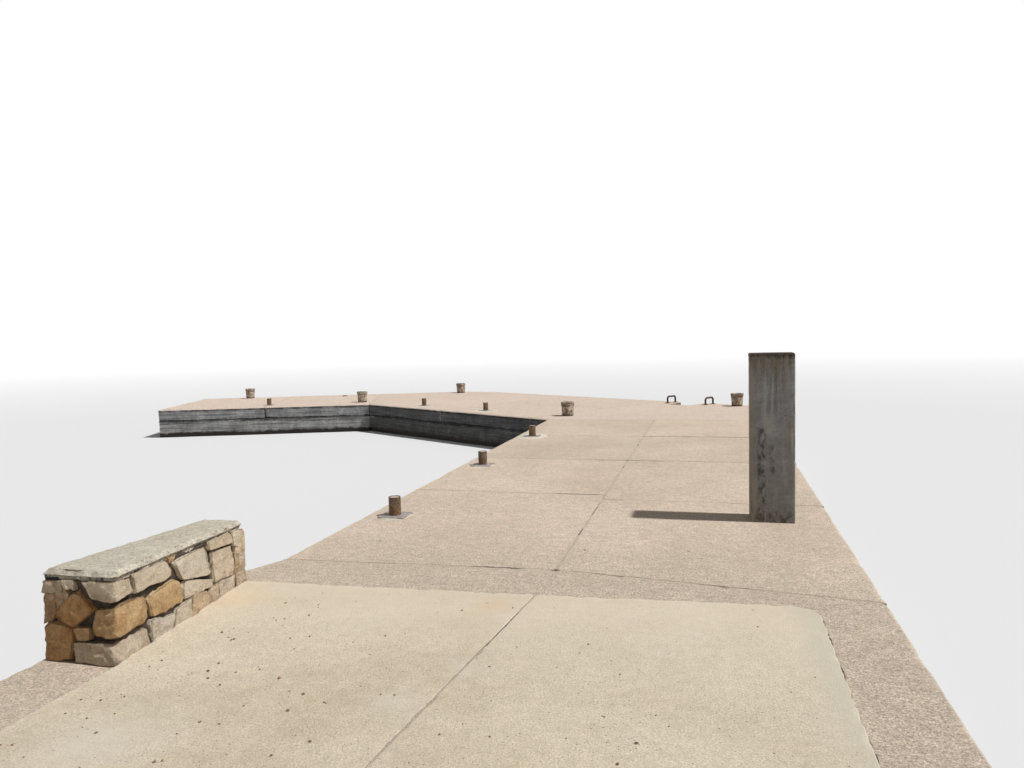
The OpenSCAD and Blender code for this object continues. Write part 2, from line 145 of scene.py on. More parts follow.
def addPiece(name, parts, material, nodes=(), slot=None, smoothAngle=40):
    # puts joined surfaces into one mesh object that rides with the jetty, with its material; its slot
    # argument is not used
    slot = slot or material
    whole = joined(parts)
    sizes = whole["sizes"].astype(np.int32)
    starts = np.concatenate([[0], np.cumsum(sizes)[:-1]]).astype(np.int32)
    mesh = bpy.data.meshes.new(name)
    mesh.vertices.add(len(whole["points"]))
    mesh.vertices.foreach_set("co", whole["points"].astype(np.float32).ravel())
    mesh.loops.add(len(whole["loops"]))
    mesh.loops.foreach_set("vertex_index", whole["loops"].astype(np.int32))
    mesh.polygons.add(len(sizes))
    mesh.polygons.foreach_set("loop_start", starts)
    mesh.update(calc_edges=True)
    mesh.validate()
    for mark, values in whole["marks"].items():
        attribute = mesh.attributes.new(mark, "FLOAT", "POINT")
        attribute.data.foreach_set("value", values.astype(np.float32))
    mesh.materials.append(materials[material])
    piece = placed(name, mesh)
    mesh.shade_smooth()
    mesh.set_sharp_from_angle(angle=math.radians(smoothAngle))
    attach(piece, "root")
    if nodes:
        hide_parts(*nodes)


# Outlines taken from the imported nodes

def crossed(u, v):
    return u[..., 0] * v[..., 1] - u[..., 1] * v[..., 0]


def waysOf(corners):
    # each edge of a closed outline, its direction, and its normal on the left-hand side
    edge = np.roll(corners, -1, 0) - corners
    way = edge / np.linalg.norm(edge, axis=1)[:, None]
    return edge, way, np.stack([-way[:, 1], way[:, 0]], 1)


def sectionOutline(node, height):
    # the outline that a level plane cuts from a node: each triangle that crosses the plane gives one
    # short line, and the lines are joined end to end, anticlockwise seen from above
    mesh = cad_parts[node].data
    co = np.empty(len(mesh.vertices) * 3, np.float32)
    mesh.vertices.foreach_get("co", co)
    index = np.empty(len(mesh.loops), np.int32)
    mesh.loops.foreach_get("vertex_index", index)
    tri = co.reshape(-1, 3)[index.reshape(-1, 3)].astype(float)
    above = tri[:, :, 2] > height
    crosses = above.any(1) & ~above.all(1)
    tri, above = tri[crosses], above[crosses]
    lone = np.argmax(above == (above.sum(1) == 1)[:, None], axis=1)
    rows = np.arange(len(tri))
    a = tri[rows, lone]
    ends = []
    for step in (1, 2):
        b = tri[rows, (lone + step) % 3]
        t = (height - a[:, 2]) / (b[:, 2] - a[:, 2])
        ends.append((a + (b - a) * t[:, None])[:, :2])
    lines = np.stack(ends, 1)
    chain = [lines[0, 0], lines[0, 1]]
    left = lines[1:]
    while len(left):
        gap = np.linalg.norm(left - chain[-1], axis=2)
        row, end = np.unravel_index(gap.argmin(), gap.shape)
        chain.append(left[row, 1 - end])
        left = np.delete(left, row, 0)
    corners = np.array(chain[:-1])
    corners = corners[np.linalg.norm(corners - np.roll(corners, 1, 0), axis=1) > 1e-4]
    before = corners - np.roll(corners, 1, 0)
    after = np.roll(corners, -1, 0) - corners
    turn = crossed(before, after) / np.linalg.norm(before, axis=1) / np.linalg.norm(after, axis=1)
    corners = corners[np.abs(turn) > 0.01]
    if crossed(corners, np.roll(corners, -1, 0)).sum() < 0:
        corners = corners[::-1]
    return sharpened(corners)


def sharpened(corners, short=0.04, sharp=0.3):
    # a short edge between two sharp turns is a cut corner: its neighbours are drawn on until they meet
    edge, way, _ = waysOf(corners)
    turn = crossed(np.roll(way, 1, 0), way)
    cut = (np.linalg.norm(edge, axis=1) < short) & (turn > sharp) & (np.roll(turn, -1) > sharp)
    whole = []
    for i in range(len(corners)):
        if cut[i]:
            u, v = way[i - 1], way[(i + 1) % len(corners)]
            whole.append(corners[i] + u * (crossed(edge[i], v) / crossed(u, v)))
        elif not cut[i - 1]:
            whole.append(corners[i])
    return np.array(whole)


def inside(points, corners):
    # even-odd test of points against an outline
    a, b = corners, np.roll(corners, -1, 0)
    x, y = points[:, 0, None], points[:, 1, None]
    spans = (a[:, 1] > y) != (b[:, 1] > y)
    rise = np.where(b[:, 1] == a[:, 1], 1e-9, b[:, 1] - a[:, 1])
    crossing = a[:, 0] + (y - a[:, 1]) * (b[:, 0] - a[:, 0]) / rise
    return (spans & (x < crossing)).sum(1) % 2 == 1


def outlineMoved(corners, insets):
    # each edge moved in by its own inset, and the corners where the moved edges meet
    normal = waysOf(corners)[2]
    n1, n2 = np.roll(normal, 1, 0), normal
    d1, d2 = np.roll(insets, 1), insets
    c = crossed(n1, n2)
    flat = np.abs(c) < 1e-6
    c = np.where(flat, 1.0, c)
    x = np.where(flat, d2 * n2[:, 0], (d1 * n2[:, 1] - d2 * n1[:, 1]) / c)
    y = np.where(flat, d2 * n2[:, 1], (d2 * n1[:, 0] - d1 * n2[:, 0]) / c)
    return corners + np.stack([x, y], 1)


class OutlinePath:
    # places along a closed outline: equal steps on each edge, and one more place near each corner

    def __init__(self, corners, step, near=0.015):
        self.corners = corners
        self.count = len(corners)
        self.edgeVector, _, inward = waysOf(corners)
        self.outward = -inward
        lengths = np.linalg.norm(self.edgeVector, axis=1)
        edge, part = [], []
        for i, length in enumerate(lengths):
            cuts = np.linspace(0, 1, max(1, math.ceil(length / step)) + 1)[:-1]
            if length > 4 * near:
                cuts = np.unique(np.round(np.append(cuts, [near / length, 1 - near / length]), 6))
            edge.append(np.full(len(cuts), i))
            part.append(cuts)
        self.edge = np.concatenate(edge)
        self.part = np.concatenate(part)
        self.after = (self.edge + 1) % self.count
        self.atCorner = self.part == 0
        self.fromCorner = np.minimum(self.part, 1 - self.part) * lengths[self.edge]

    def ring(self, insets):
        # the outline with each edge moved in by its own inset, taken at the path's places
        moved = outlineMoved(self.corners, np.broadcast_to(insets, self.count))
        t = self.part[:, None]
        return moved[self.edge] * (1 - t) + moved[self.after] * t

    def pushed(self, free):
        # outward direction at each place; at a corner the free edges' directions are averaged
        weight = np.where(free, 1.0, 0.001)[:, None] * self.outward
        both = weight[self.edge] + weight[self.edge - 1]
        both = both / np.maximum(np.linalg.norm(both, axis=1), 1e-9)[:, None]
        return np.where(self.atCorner[:, None], both, self.outward[self.edge])

    def fromEdges(self, points, chosen):
        # distance of plan points from the nearest of the chosen edges
        if not chosen.any():
            return np.full(points.shape[:-1], 9.0)
        a, v = self.corners[chosen], self.edgeVector[chosen]
        rel = points[..., None, :] - a
        t = np.clip((rel * v).sum(-1) / (v * v).sum(-1), 0, 1)
        return np.linalg.norm(rel - t[..., None] * v, axis=-1).min(-1)


# Cast blocks

def castBlock(corners, free, bottom, top, look, seed):
    # a cast block as rings round its outline: from the middle of the top out to its edge, over the
    # arris, down the side and under; every ring is the outline moved in, then worn by noise
    path = OutlinePath(corners, look["step"])
    arris, groove = look["arris"], look["groove"]
    topInsets = np.array([0.14, 0.085, 0.05, 0.03, arris, arris * 0.5, 0.0])
    jointInsets = np.array([0.14, 0.085, 0.05, 0.022, 0.010, 0.004, 0.0])
    topBites = np.array([0, 0, 0, 0.3, 0.8, 1.0, 0.9])
    if look["narrow"]:
        scale = look["narrow"] / topInsets[0]
        topInsets[:4] = arris + (topInsets[:4] - topInsets[3] + 0.006) * scale
        jointInsets = topInsets.copy()
    sideTop, sideBottom = top - arris, bottom + groove
    rows = np.arange(sideTop - look["row"], sideBottom + look["row"] * 0.5, -look["row"])
    seams = np.arange(bottom + look["board"], sideTop, look["board"])
    fins = np.concatenate([seams - 0.005, seams, seams + 0.005])
    fins = fins[(fins < sideTop - 0.004) & (fins > sideBottom + 0.004)]
    underInsets = np.array([0.0, 1.0, 4.0]) * max(groove, 0.008)
    rings, marks = [], []

    def addRing(freeInset, jointInset, height, bite, isTop, isSide):
        plan = path.ring(np.where(free, freeInset, jointInset))
        fromFree = path.fromEdges(plan, free)
        if isTop:
            z = top - np.clip(arris - fromFree, 0, arris)
            z = np.where(free[path.edge] | (jointInset > 0), z, z - 0.004)
        else:
            z = np.clip(height, bottom + np.clip(groove - fromFree, 0, groove),
                        top - np.clip(arris - fromFree, 0.004, arris))
        rings.append(np.column_stack([plan, z]))
        marks.append([bite, float(isTop), float(isSide), min(freeInset, 9.0)])

    for a, b, bite in zip(topInsets, jointInsets, topBites):
        addRing(a, b, top, bite, True, False)
    for z in np.sort(np.concatenate([rows, fins]))[::-1]:
        addRing(0.0, 0.0, z, max(0.0, 0.5 - (sideTop - z) / look["row"] * 0.25), False, True)
    addRing(0.0, 0.0, sideBottom, 0.0, False, True)
    for inset in underInsets[1:]:
        addRing(inset, inset, bottom, 0.0, False, False)

    rings = np.array(rings)
    bite, isTop, isSide, inset = np.array(marks).T[:, :, None]
    outward = path.pushed(free)
    isFree = free[path.edge] | (path.atCorner & free[path.edge - 1])
    push = sideWear(rings, path, isFree, isSide, bottom, top, look, seed)
    bites = bite * np.where(isFree, look["bite"], look["jointBite"]) * chips(
        rings, look["biteSize"], look["biteStart"], seed + 3)
    rounding = look["cornerRound"] * np.exp(-(path.fromCorner / 0.02) ** 2)
    bulge = np.where(isSide > 0, 1.0, np.clip(1 - inset / 0.06, 0, 1))
    worn = 1 + look["cornerBite"] * chips(rings, 0.10, 0.1, seed + 5)
    turnOut = np.abs(crossed(path.outward[path.edge - 1], path.outward[path.edge])) * path.atCorner
    turnOut = np.maximum(turnOut, np.where(path.atCorner, 0, 0.35))
    push = push - bites - bulge * rounding * turnOut * worn
    push[-2] = np.minimum(push[-2], push[-3] + underInsets[1])     # the foot goes in with the worn side
    rings[:, :, :2] += push[:, :, None] * outward
    rings[:, :, 2] -= 0.8 * bites
    rings[:, :, 2] += isTop * look["sag"] * rubble(rings * np.array([1, 1, 0]), 0.8, 11)

    all1 = np.ones(rings.shape[:2])
    stack = {"edgeNear": np.where(isSide > 0, 1.0, np.exp(-inset / 0.022)) * all1,
             "freeSide": isFree * all1, "bitten": np.clip(bites / 0.012, 0, 1)}
    topPole = None
    if look["capStep"]:
        rings, stack, topPole = withCap(rings, stack, top, look)
    if look["lean"]:
        rings = look["lean"](rings)
        topPole = None if topPole is None else look["lean"](topPole[None, None])[0, 0]
    return ringStack(rings, topPole, tone=latticeValue(np.array([seed, 5, 9]), 3), **stack)


def withCap(rings, stack, top, look):
    # rings between the first ring and its middle, so that the top is closed by a fine fan
    middle = rings[0, :, :2].mean(0)
    reach = np.linalg.norm(rings[0, :, :2] - middle, axis=1).max()
    count = max(2, math.ceil(reach / look["capStep"]))
    share = np.arange(1, count)[:, None, None] / count
    plan = middle + (rings[0, :, :2] - middle) * share
    cap = np.concatenate([plan, np.zeros(plan.shape[:2] + (1,))], axis=2)
    cap[:, :, 2] = top + look["sag"] * rubble(cap, 0.8, 11)
    pole = np.append(middle, 0.0)
    pole[2] = top + look["sag"] * rubble(pole[None], 0.8, 11)[0]
    zeros = np.zeros(cap.shape[:2])
    stack = {k: np.concatenate([zeros, v]) for k, v in stack.items()}
    return np.concatenate([cap, rings]), stack, pole


def sideWear(rings, path, isFree, isSide, bottom, top, look, seed):
    # how far a wall stands in: a slow bulge, a step from board to board, a thin fin at each board
    # seam, and honeycombed patches near the lift's foot or head
    z = rings[:, :, 2]
    way = np.stack([-path.outward[:, 1], path.outward[:, 0]], 1)[path.edge]
    along = rings[:, :, 0] * way[:, 0] + rings[:, :, 1] * way[:, 1]
    board = np.floor((z - bottom + 1e-6) / look["board"]).astype(np.int64)
    panel = np.floor(along / look["panel"]).astype(np.int64)
    step = latticeValue(np.stack([board, panel, path.edge + 0 * board], -1), seed) - 0.5
    fromSeam = np.abs(z - bottom - np.round((z - bottom) / look["board"]) * look["board"])
    broken = np.clip(0.5 + lumps(rings, 0.25, seed + 1), 0, 1)
    fin = look["fin"] * np.exp(-(fromSeam / 0.003) ** 2) * broken
    fin = np.where((z - bottom < 0.03) | (top - z < 0.05), 0, fin)
    fromPanel = np.abs(along - np.round(along / look["panel"]) * look["panel"])
    fin = fin + look["fin"] * 0.7 * np.exp(-(fromPanel / 0.02) ** 2)
    ends = {"foot": z - bottom, "both": np.minimum(z - bottom, top - z)}[look["honeycombAt"]]
    patch = np.clip(lumps(rings, 0.45, seed + 2) + 0.25, 0, 1) * np.exp(-ends / 0.05)
    honeycomb = look["honeycomb"] * patch * (0.55 + 0.45 * rubble(rings, 0.05, seed + 4))
    slow = look["bulge"] * (lumps(rings, 0.7, seed + 6) - 0.6)
    pitted = look["rough"] * (rubble(rings, 0.06, seed + 8) - 0.4)
    push = slow + look["boardStep"] * step + fin - honeycomb + pitted
    stand = 0.4 * look["bulge"] + 0.5 * look["boardStep"] + look["fin"] + 0.6 * look["rough"]
    push = np.minimum(push - 0.6 * stand, 0.0)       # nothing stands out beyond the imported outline
    return np.where(isFree, push, 0.0) * isSide


# What the cast blocks look like; lengths in metres

castLook = {
    "step": 0.04, "row": 0.02,         # spacing of the places along the outline and down the side
    "board": 0.5, "panel": 9.0,        # height of a shutter board, length of a shutter panel
    "arris": 0.01, "groove": 0.0,      # how much the upper and the lower edge are cut back
    "bite": 0.0, "jointBite": 0.0, "biteSize": 0.06, "biteStart": 0.0,
    "cornerRound": 0.0, "cornerBite": 2.0, "sag": 0.002, "capStep": 0,
    "boardStep": 0.0, "fin": 0.0, "bulge": 0.0, "rough": 0.0,
    "honeycomb": 0.0, "honeycombAt": "foot", "narrow": 0, "lean": None}
blockLooks = {
    "slab": {
        "step": 0.045, "row": 0.028, "board": 0.14, "panel": 1.25, "arris": 0.018, "groove": 0.012,
        "bite": 0.016, "jointBite": 0.010, "biteSize": 0.11, "biteStart": 0.15, "cornerRound": 0.020,
        "sag": 0.0025, "capStep": 0.30, "boardStep": 0.003, "fin": 0.003, "bulge": 0.005,
        "rough": 0.003, "honeycomb": 0.030},
    "lower_lift": {
        "step": 0.05, "row": 0.03, "board": 0.13, "panel": 1.6, "groove": 0.014, "bite": 0.014,
        "biteSize": 0.13, "biteStart": 0.1, "cornerRound": 0.022, "cornerBite": 2.5, "sag": 0.001,
        "boardStep": 0.005, "fin": 0.004, "bulge": 0.007, "rough": 0.005, "honeycomb": 0.034,
        "honeycombAt": "both"},
    "topping": {
        "step": 0.03, "row": 0.008, "arris": 0.006, "bite": 0.018, "jointBite": 0.007,
        "biteSize": 0.055, "biteStart": 0.02, "capStep": 0.12, "bulge": 0.004, "rough": 0.002},
    "step": {
        "row": 0.03, "board": 0.11, "arris": 0.012, "bite": 0.020, "biteSize": 0.10,
        "cornerRound": 0.015, "sag": 0.003, "capStep": 0.08, "boardStep": 0.002, "fin": 0.002,
        "bulge": 0.004, "rough": 0.004, "honeycomb": 0.010, "narrow": 0.09},
    "post": {
        "step": 0.02, "row": 0.018, "board": 0.35, "arris": 0.009, "bite": 0.014, "biteSize": 0.05,
        "biteStart": 0.1, "cornerRound": 0.009, "cornerBite": 5.0, "sag": 0.003, "capStep": 0.03,
        "boardStep": 0.001, "fin": 0.001, "bulge": 0.002, "rough": 0.0018, "honeycomb": 0.010,
        "narrow": 0.10},
    "coping": {
        "step": 0.010, "row": 0.008, "arris": 0.022, "groove": 0.006, "bite": 0.016,
        "biteStart": -0.2, "sag": 0.005, "capStep": 0.03, "bulge": 0.008, "rough": 0.018,
        "narrow": 0.09},
    "core": {"step": 0.03, "bulge": 0.006, "rough": 0.014, "narrow": 0.06},
    "plate": {
        "row": 0.006, "arris": 0.003, "bite": 0.006, "biteSize": 0.04, "sag": 0.001, "capStep": 0.03,
        "fin": 0.002, "rough": 0.002, "narrow": 0.08},
    "hoop_foot": {
        "step": 0.012, "row": 0.004, "arris": 0.002, "bite": 0.004, "biteSize": 0.03, "sag": 0.0005,
        "capStep": 0.02, "fin": 0.002, "rough": 0.001, "narrow": 0.03}}


# The jetty's layers: two lifts of cast concrete and a topping, each block worn on its free edges

layers = {
    # bottom, top, height at which the outlines are taken, material
    "slab": (levels["lift"], levels["deck"], 0.53, "deck_concrete"),
    "lower_lift": (0.0, levels["lift"], 0.2, "wall_concrete"),
    "topping": (levels["deck"], levels["topping"], 0.681, "topping_concrete")}
notched = ("elbow_slab", "lower_lift_elbow")        # their outlines have no middle to fan a top from
fresher = ("elbow", "head", "corner", "outer")      # slabs a little paler and pinker than the rest
rootEnd = -3.16                                     # y of the end that butts against other work


def blockLook(kind, **changes):
    return {**castLook, **blockLooks[kind], **changes}


def freeEdges(name, outlines):
    # an edge is free where nothing of the same layer lies 30 mm outside its middle
    edge, _, inward = waysOf(outlines[name])
    middle = outlines[name] + edge / 2 - inward * 0.03
    taken = np.zeros(len(edge), bool)
    for other, shape in outlines.items():
        if other != name:
            taken |= inside(middle, shape)
    return ~taken & (middle[:, 1] > rootEnd)


def toParapet(corners):
    # the topping's left edge drawn out to the foot of the parapet, whose face turns away from it
    far = np.argmin(corners[:, 0] - corners[:, 1])
    foot = [(-1.945, corners[far, 1] + 0.012), (-1.80, wallLow[1] + 0.03), (-1.79, wallLow[1] - 0.02)]
    return np.concatenate([corners[:far], foot, corners[far + 1:]])


def addLayer(kind):
    # one piece for each block of a layer; gives back their outlines and which edges are free
    bottom, top, height, material = layers[kind]
    outlines = {name: sectionOutline(name, height) for name in nodes if kind in name}
    if "topping_left" in outlines:
        outlines["topping_left"] = toParapet(outlines["topping_left"])
    free = {name: freeEdges(name, outlines) for name in outlines}
    for number, name in enumerate(outlines):
        look = blockLook(kind, **({"capStep": 0} if name in notched else {}))
        block = castBlock(outlines[name], free[name], bottom, top, look, 10 * number + 3)
        block["marks"]["fresh"] = np.full(len(block["points"]), float(name.startswith(fresher)))
        addPiece(name + "_cast", [block], material, [name])
    return outlines, free


# Dirt in the joints and against the topping

openJoints = {
    # where a joint is open and dark: x range and y range in metres
    "deck": [(-0.62, -0.22, -0.1, 0.2), (-1.35, -1.15, -0.2, 0.2), (0.95, 1.10, -0.3, 0.2),
             (-0.62, -0.05, 2.4, 2.6), (1.62, 2.0, 2.2, 2.4), (-0.82, -0.72, 4.6, 4.7),
             (-0.35, 0.45, 4.6, 4.7), (0.0, 1.90, 6.9, 7.1), (-0.40, 1.30, 9.25, 9.4)],
    "topping": [(-0.3, 0.4, -1.35, -1.15)]}


def chosenEdges(outlines, chosen):
    # number, start, length, direction and outward side of each chosen edge of a layer's blocks
    for name, corners in outlines.items():
        for i in np.flatnonzero(chosen[name]):
            a, b = corners[i], corners[(i + 1) % len(corners)]
            length = np.linalg.norm(b - a)
            way = (b - a) / length
            yield i, a, length, way, np.array([way[1], -way[0]])


def ribbon(run, side, section, soil):
    # a strip along a run: at each place a closed section of points, each so far to the side and so high
    none = np.zeros(len(run))
    rows = [np.column_stack([run + side * (none + across)[:, None], none + height])
            for across, height in section]
    return ringStack(np.array(rows).transpose(1, 0, 2)[::-1],
                     soil=soil[::-1, None] * np.ones((1, len(section))))


def seam(run, side, top, seed, openAt, halfWidth=0.0105, deep=0.03):
    # dirt and sand along a joint: a strip whose top wanders, level with the slabs where the joint is
    # full of sand and sunk where it is open; "soil" is 1 where it is open and dark
    run3 = flatRun(run)
    isOpen = np.clip((rubble(run3, 0.35, seed) - 0.44) * 10, 0, 0.8)
    for x0, x1, y0, y1 in openAt:
        within = (run[:, 0] > x0) & (run[:, 0] < x1) & (run[:, 1] > y0) & (run[:, 1] < y1)
        isOpen = np.maximum(isOpen, within * np.clip(0.75 + 1.2 * rubble(run3, 0.09, seed + 1), 0, 1))
    level = top - 0.0016 - 0.0040 * isOpen + 0.0010 * rubble(run3, 0.07, seed + 2)
    section = [(-halfWidth, top - deep), (-halfWidth, level), (0.0, level - 0.001),
               (halfWidth, level), (halfWidth, top - deep)]
    return ribbon(run, side, section, isOpen)


def jointDirt(outlines, free, top, openAt, seed):
    # one strip along each shared edge of a layer's blocks
    parts, done = [], []
    shared = {name: ~edges for name, edges in free.items()}
    beside, short, near = 0.004, 0.006, 0.25       # off the edge, off its ends, same joint seen again
    for _, a, length, way, side in chosenEdges(outlines, shared):
        middle = a + way * length / 2 + side * beside
        if middle[1] < rootEnd + 0.06 or any(np.linalg.norm(middle - m) < near for m in done):
            continue
        done.append(middle)
        along = np.linspace(short, length - short, max(2, int(length / 0.02)))
        run = a + side * beside + along[:, None] * way
        parts.append(seam(run, side, top, seed + len(done), openAt))
    return parts


def sweptDirt(outlines, free, z, seed=91):
    # a thin ragged ribbon of dirt on the deck against the free edges of the topping
    parts = []
    for i, a, length, way, side in chosenEdges(outlines, free):
        run = a + np.linspace(0.0, length, max(2, int(length / 0.012)))[:, None] * way
        run3 = flatRun(run)
        wide = 0.010 + 0.014 * rubble(run3, 0.10, seed + i)
        section = [(np.clip(share * wide, -0.01, None) - 0.003, z + up)
                   for share, up in ((0.0, -0.004), (0.0, 0.006), (0.4, 0.004), (1.0, -0.001), (1.0, -0.004))]
        soil = np.clip(0.75 + 1.5 * rubble(run3, 0.18, seed + 40 + i), 0, 1)
        parts.append(ribbon(run, side, section, soil))
    return parts


# Turned pieces and bent bars

def resampled(points, step):
    # a line of points with more points put in, no further apart than the step
    points = np.asarray(points, float)
    rows = [points[:1]]
    for a, b in zip(points[:-1], points[1:]):
        n = max(1, math.ceil(np.linalg.norm(b - a) / step))
        rows.append(a + (b - a) * (np.arange(1, n + 1) / n)[:, None])
    return np.concatenate(rows)


def unitCircle(count):
    angle = np.arange(count) * 2 * math.pi / count
    return np.stack([np.cos(angle), np.sin(angle)], 1)


def turned(profile, step, centre, segments, rough, chip=0.0, seed=1):
    # a profile of (radius, height) pairs carried round an axis: (r cos a, r sin a, z), worn by noise
    profile = resampled(profile, step)
    radius, height = profile[:, :1], profile[:, 1:]
    out = unitCircle(segments)
    rings = np.dstack([radius * out[:, 0], radius * out[:, 1], height * np.ones(segments)])
    push = rough * rubble(rings + centre, 0.05, seed) - chip * chips(rings + centre, 0.045, 0.15, seed + 2)
    rings[:, :, :2] += (push * np.clip(radius / 0.03, 0, 1))[:, :, None] * out
    rings[:, :, 2] += 0.5 * push * (height > height.min() + 0.004)
    upness = (height - height.min()) / max(np.ptp(height), 1e-6)
    stack = ringStack(rings, (0, 0, rings[0, :, 2].mean()), upness=upness)
    stack["points"] = stack["points"] + np.asarray(centre, float)
    return stack


def bentBar(path, radius, up, sides, rough, seed, closed=False):
    # a round bar along a path: at each point a circle in the plane across the path's direction
    path = np.asarray(path, float)
    way = np.roll(path, -1, 0) - np.roll(path, 1, 0) if closed else np.gradient(path, axis=0)
    way = way / np.linalg.norm(way, axis=1)[:, None]
    across = np.cross(way, up)
    across = across / np.linalg.norm(across, axis=1)[:, None]
    other = np.cross(across, way)
    cos, sin = unitCircle(sides).T[:, None, :, None]
    shape = cos * across[:, None] + sin * other[:, None]
    rings = path[:, None] + shape * radius
    rings = rings + shape * (rough * rubble(rings, 0.02, seed))[:, :, None]
    if not closed:
        return ringStack(rings)
    quads = gridFaces(len(rings) + 1, sides) % (len(rings) * sides)
    return surface(rings.reshape(-1, 3), quads.ravel(), np.full(len(quads), 4))


# Rubble stones

def cubeGrid(n):
    # a cube's surface from -1 to 1, a grid on each side, the points of shared edges merged
    t = np.arange(n + 1)
    a, b = np.meshgrid(t, t, indexing="ij")
    points, quads = [], []
    for axis in range(3):
        for side in (0, n):
            p = np.empty((n + 1, n + 1, 3), int)
            p[..., axis], p[..., (axis + 1) % 3], p[..., (axis + 2) % 3] = side, a, b
            index = np.arange((n + 1) ** 2).reshape(n + 1, n + 1) + len(points) * (n + 1) ** 2
            q = np.stack([index[:-1, :-1], index[1:, :-1], index[1:, 1:], index[:-1, 1:]], -1).reshape(-1, 4)
            points.append(p.reshape(-1, 3))
            quads.append(q if side else q[:, ::-1])
    unique, back = np.unique(np.concatenate(points), axis=0, return_inverse=True)
    return unique / n * 2 - 1.0, back.reshape(-1)[np.concatenate(quads)]


seenGrid, plainGrid = cubeGrid(25), cubeGrid(13)


def stone(corners, warm, pale, seed, grid, square=16.0, cuts=9, atCorner=False):
    # a hewn stone between eight corners (2 x 2 x 2 points): a cube's surface rounded by
    # |x|^k + |y|^k + |z|^k = 1, cut back by random planes, stretched to the corners and roughened
    cube, quads = grid
    unit = cube / (np.abs(cube) ** square).sum(1, keepdims=True) ** (1 / square)
    rng = np.random.default_rng(seed)
    normals = rng.normal(size=(cuts + 5, 3))
    limits = rng.uniform(1.25, 1.50, cuts + 5)
    for k in range(5):
        side = np.eye(3)[k % 3] * rng.choice((-1, 1))
        normals[cuts + k] = side * 7 + normals[cuts + k]
        limits[cuts + k] = rng.uniform(0.95, 1.02)
    for normal, limit in zip(normals / np.linalg.norm(normals, axis=1)[:, None], limits):
        unit = unit - np.clip(unit @ normal - limit, 0, None)[:, None] * normal * 0.92
    part = (1 + unit) / 2
    place = 0.0
    for spot in itertools.product((0, 1), repeat=3):
        share = np.prod(np.where(np.array(spot) == 1, part, 1 - part), axis=1)
        place = place + share[:, None] * corners[spot]
    outward = place - place.mean(0)
    outward = outward / np.linalg.norm(outward, axis=1)[:, None]
    wear = 0.0022 + 0.0120 * rubble(place, 0.10, seed) + 0.0050 * rubble(place, 0.020, seed + 1)
    wear = wear - 0.0090 * np.abs(lumps(place, 0.050, seed + 2))
    place = place + outward * wear[:, None]
    origin = corners[0, 0, 0]
    u, v, w = corners[1, 0, 0] - origin, corners[0, 1, 0] - origin, corners[0, 0, 1] - origin
    if np.dot(np.cross(u, v), w) < 0:
        quads = quads[:, ::-1]
    # how near each point lies to an edge: the edges are darkened by joint dirt and by painted shade
    reach = np.sort(np.abs(cube), axis=1)[:, 1]
    if atCorner:         # its two outer faces meet in an arris, which isn't a joint
        ends = np.where(cube[:, 0] > 0.999, cube[:, 2], -cube[:, 0])
        reach = np.maximum(np.abs(cube[:, 1]), ends)
    bed = np.clip((reach - 0.90) / 0.10, 0, 1) ** 1.5
    return surface(place, quads.ravel(), np.full(len(quads), 4), warm=warm, pale=pale, bed=bed,
                   number=latticeValue(np.array([seed, 3, 8]), 5))


def courses(length, height, seed):
    # random courses of stones for the faces that the photograph doesn't show
    rng = np.random.default_rng(seed)
    z, spans = 0.0, []
    while z < height - 0.05:
        rise = min(rng.uniform(0.09, 0.15), height - z)
        if height - z - rise < 0.06:
            rise = height - z
        u = -rng.uniform(0, 0.1)
        while u < length:
            run = rng.uniform(0.15, 0.34)
            if length - u - run < 0.1:
                run = length - u + 0.02
            spans.append((max(u, 0.0), min(u + run, length), z, z + rise))
            u += run
        z += rise
    return [s for s in spans if s[1] - s[0] > 0.05]


# Materials: short ways to put nodes into a tree

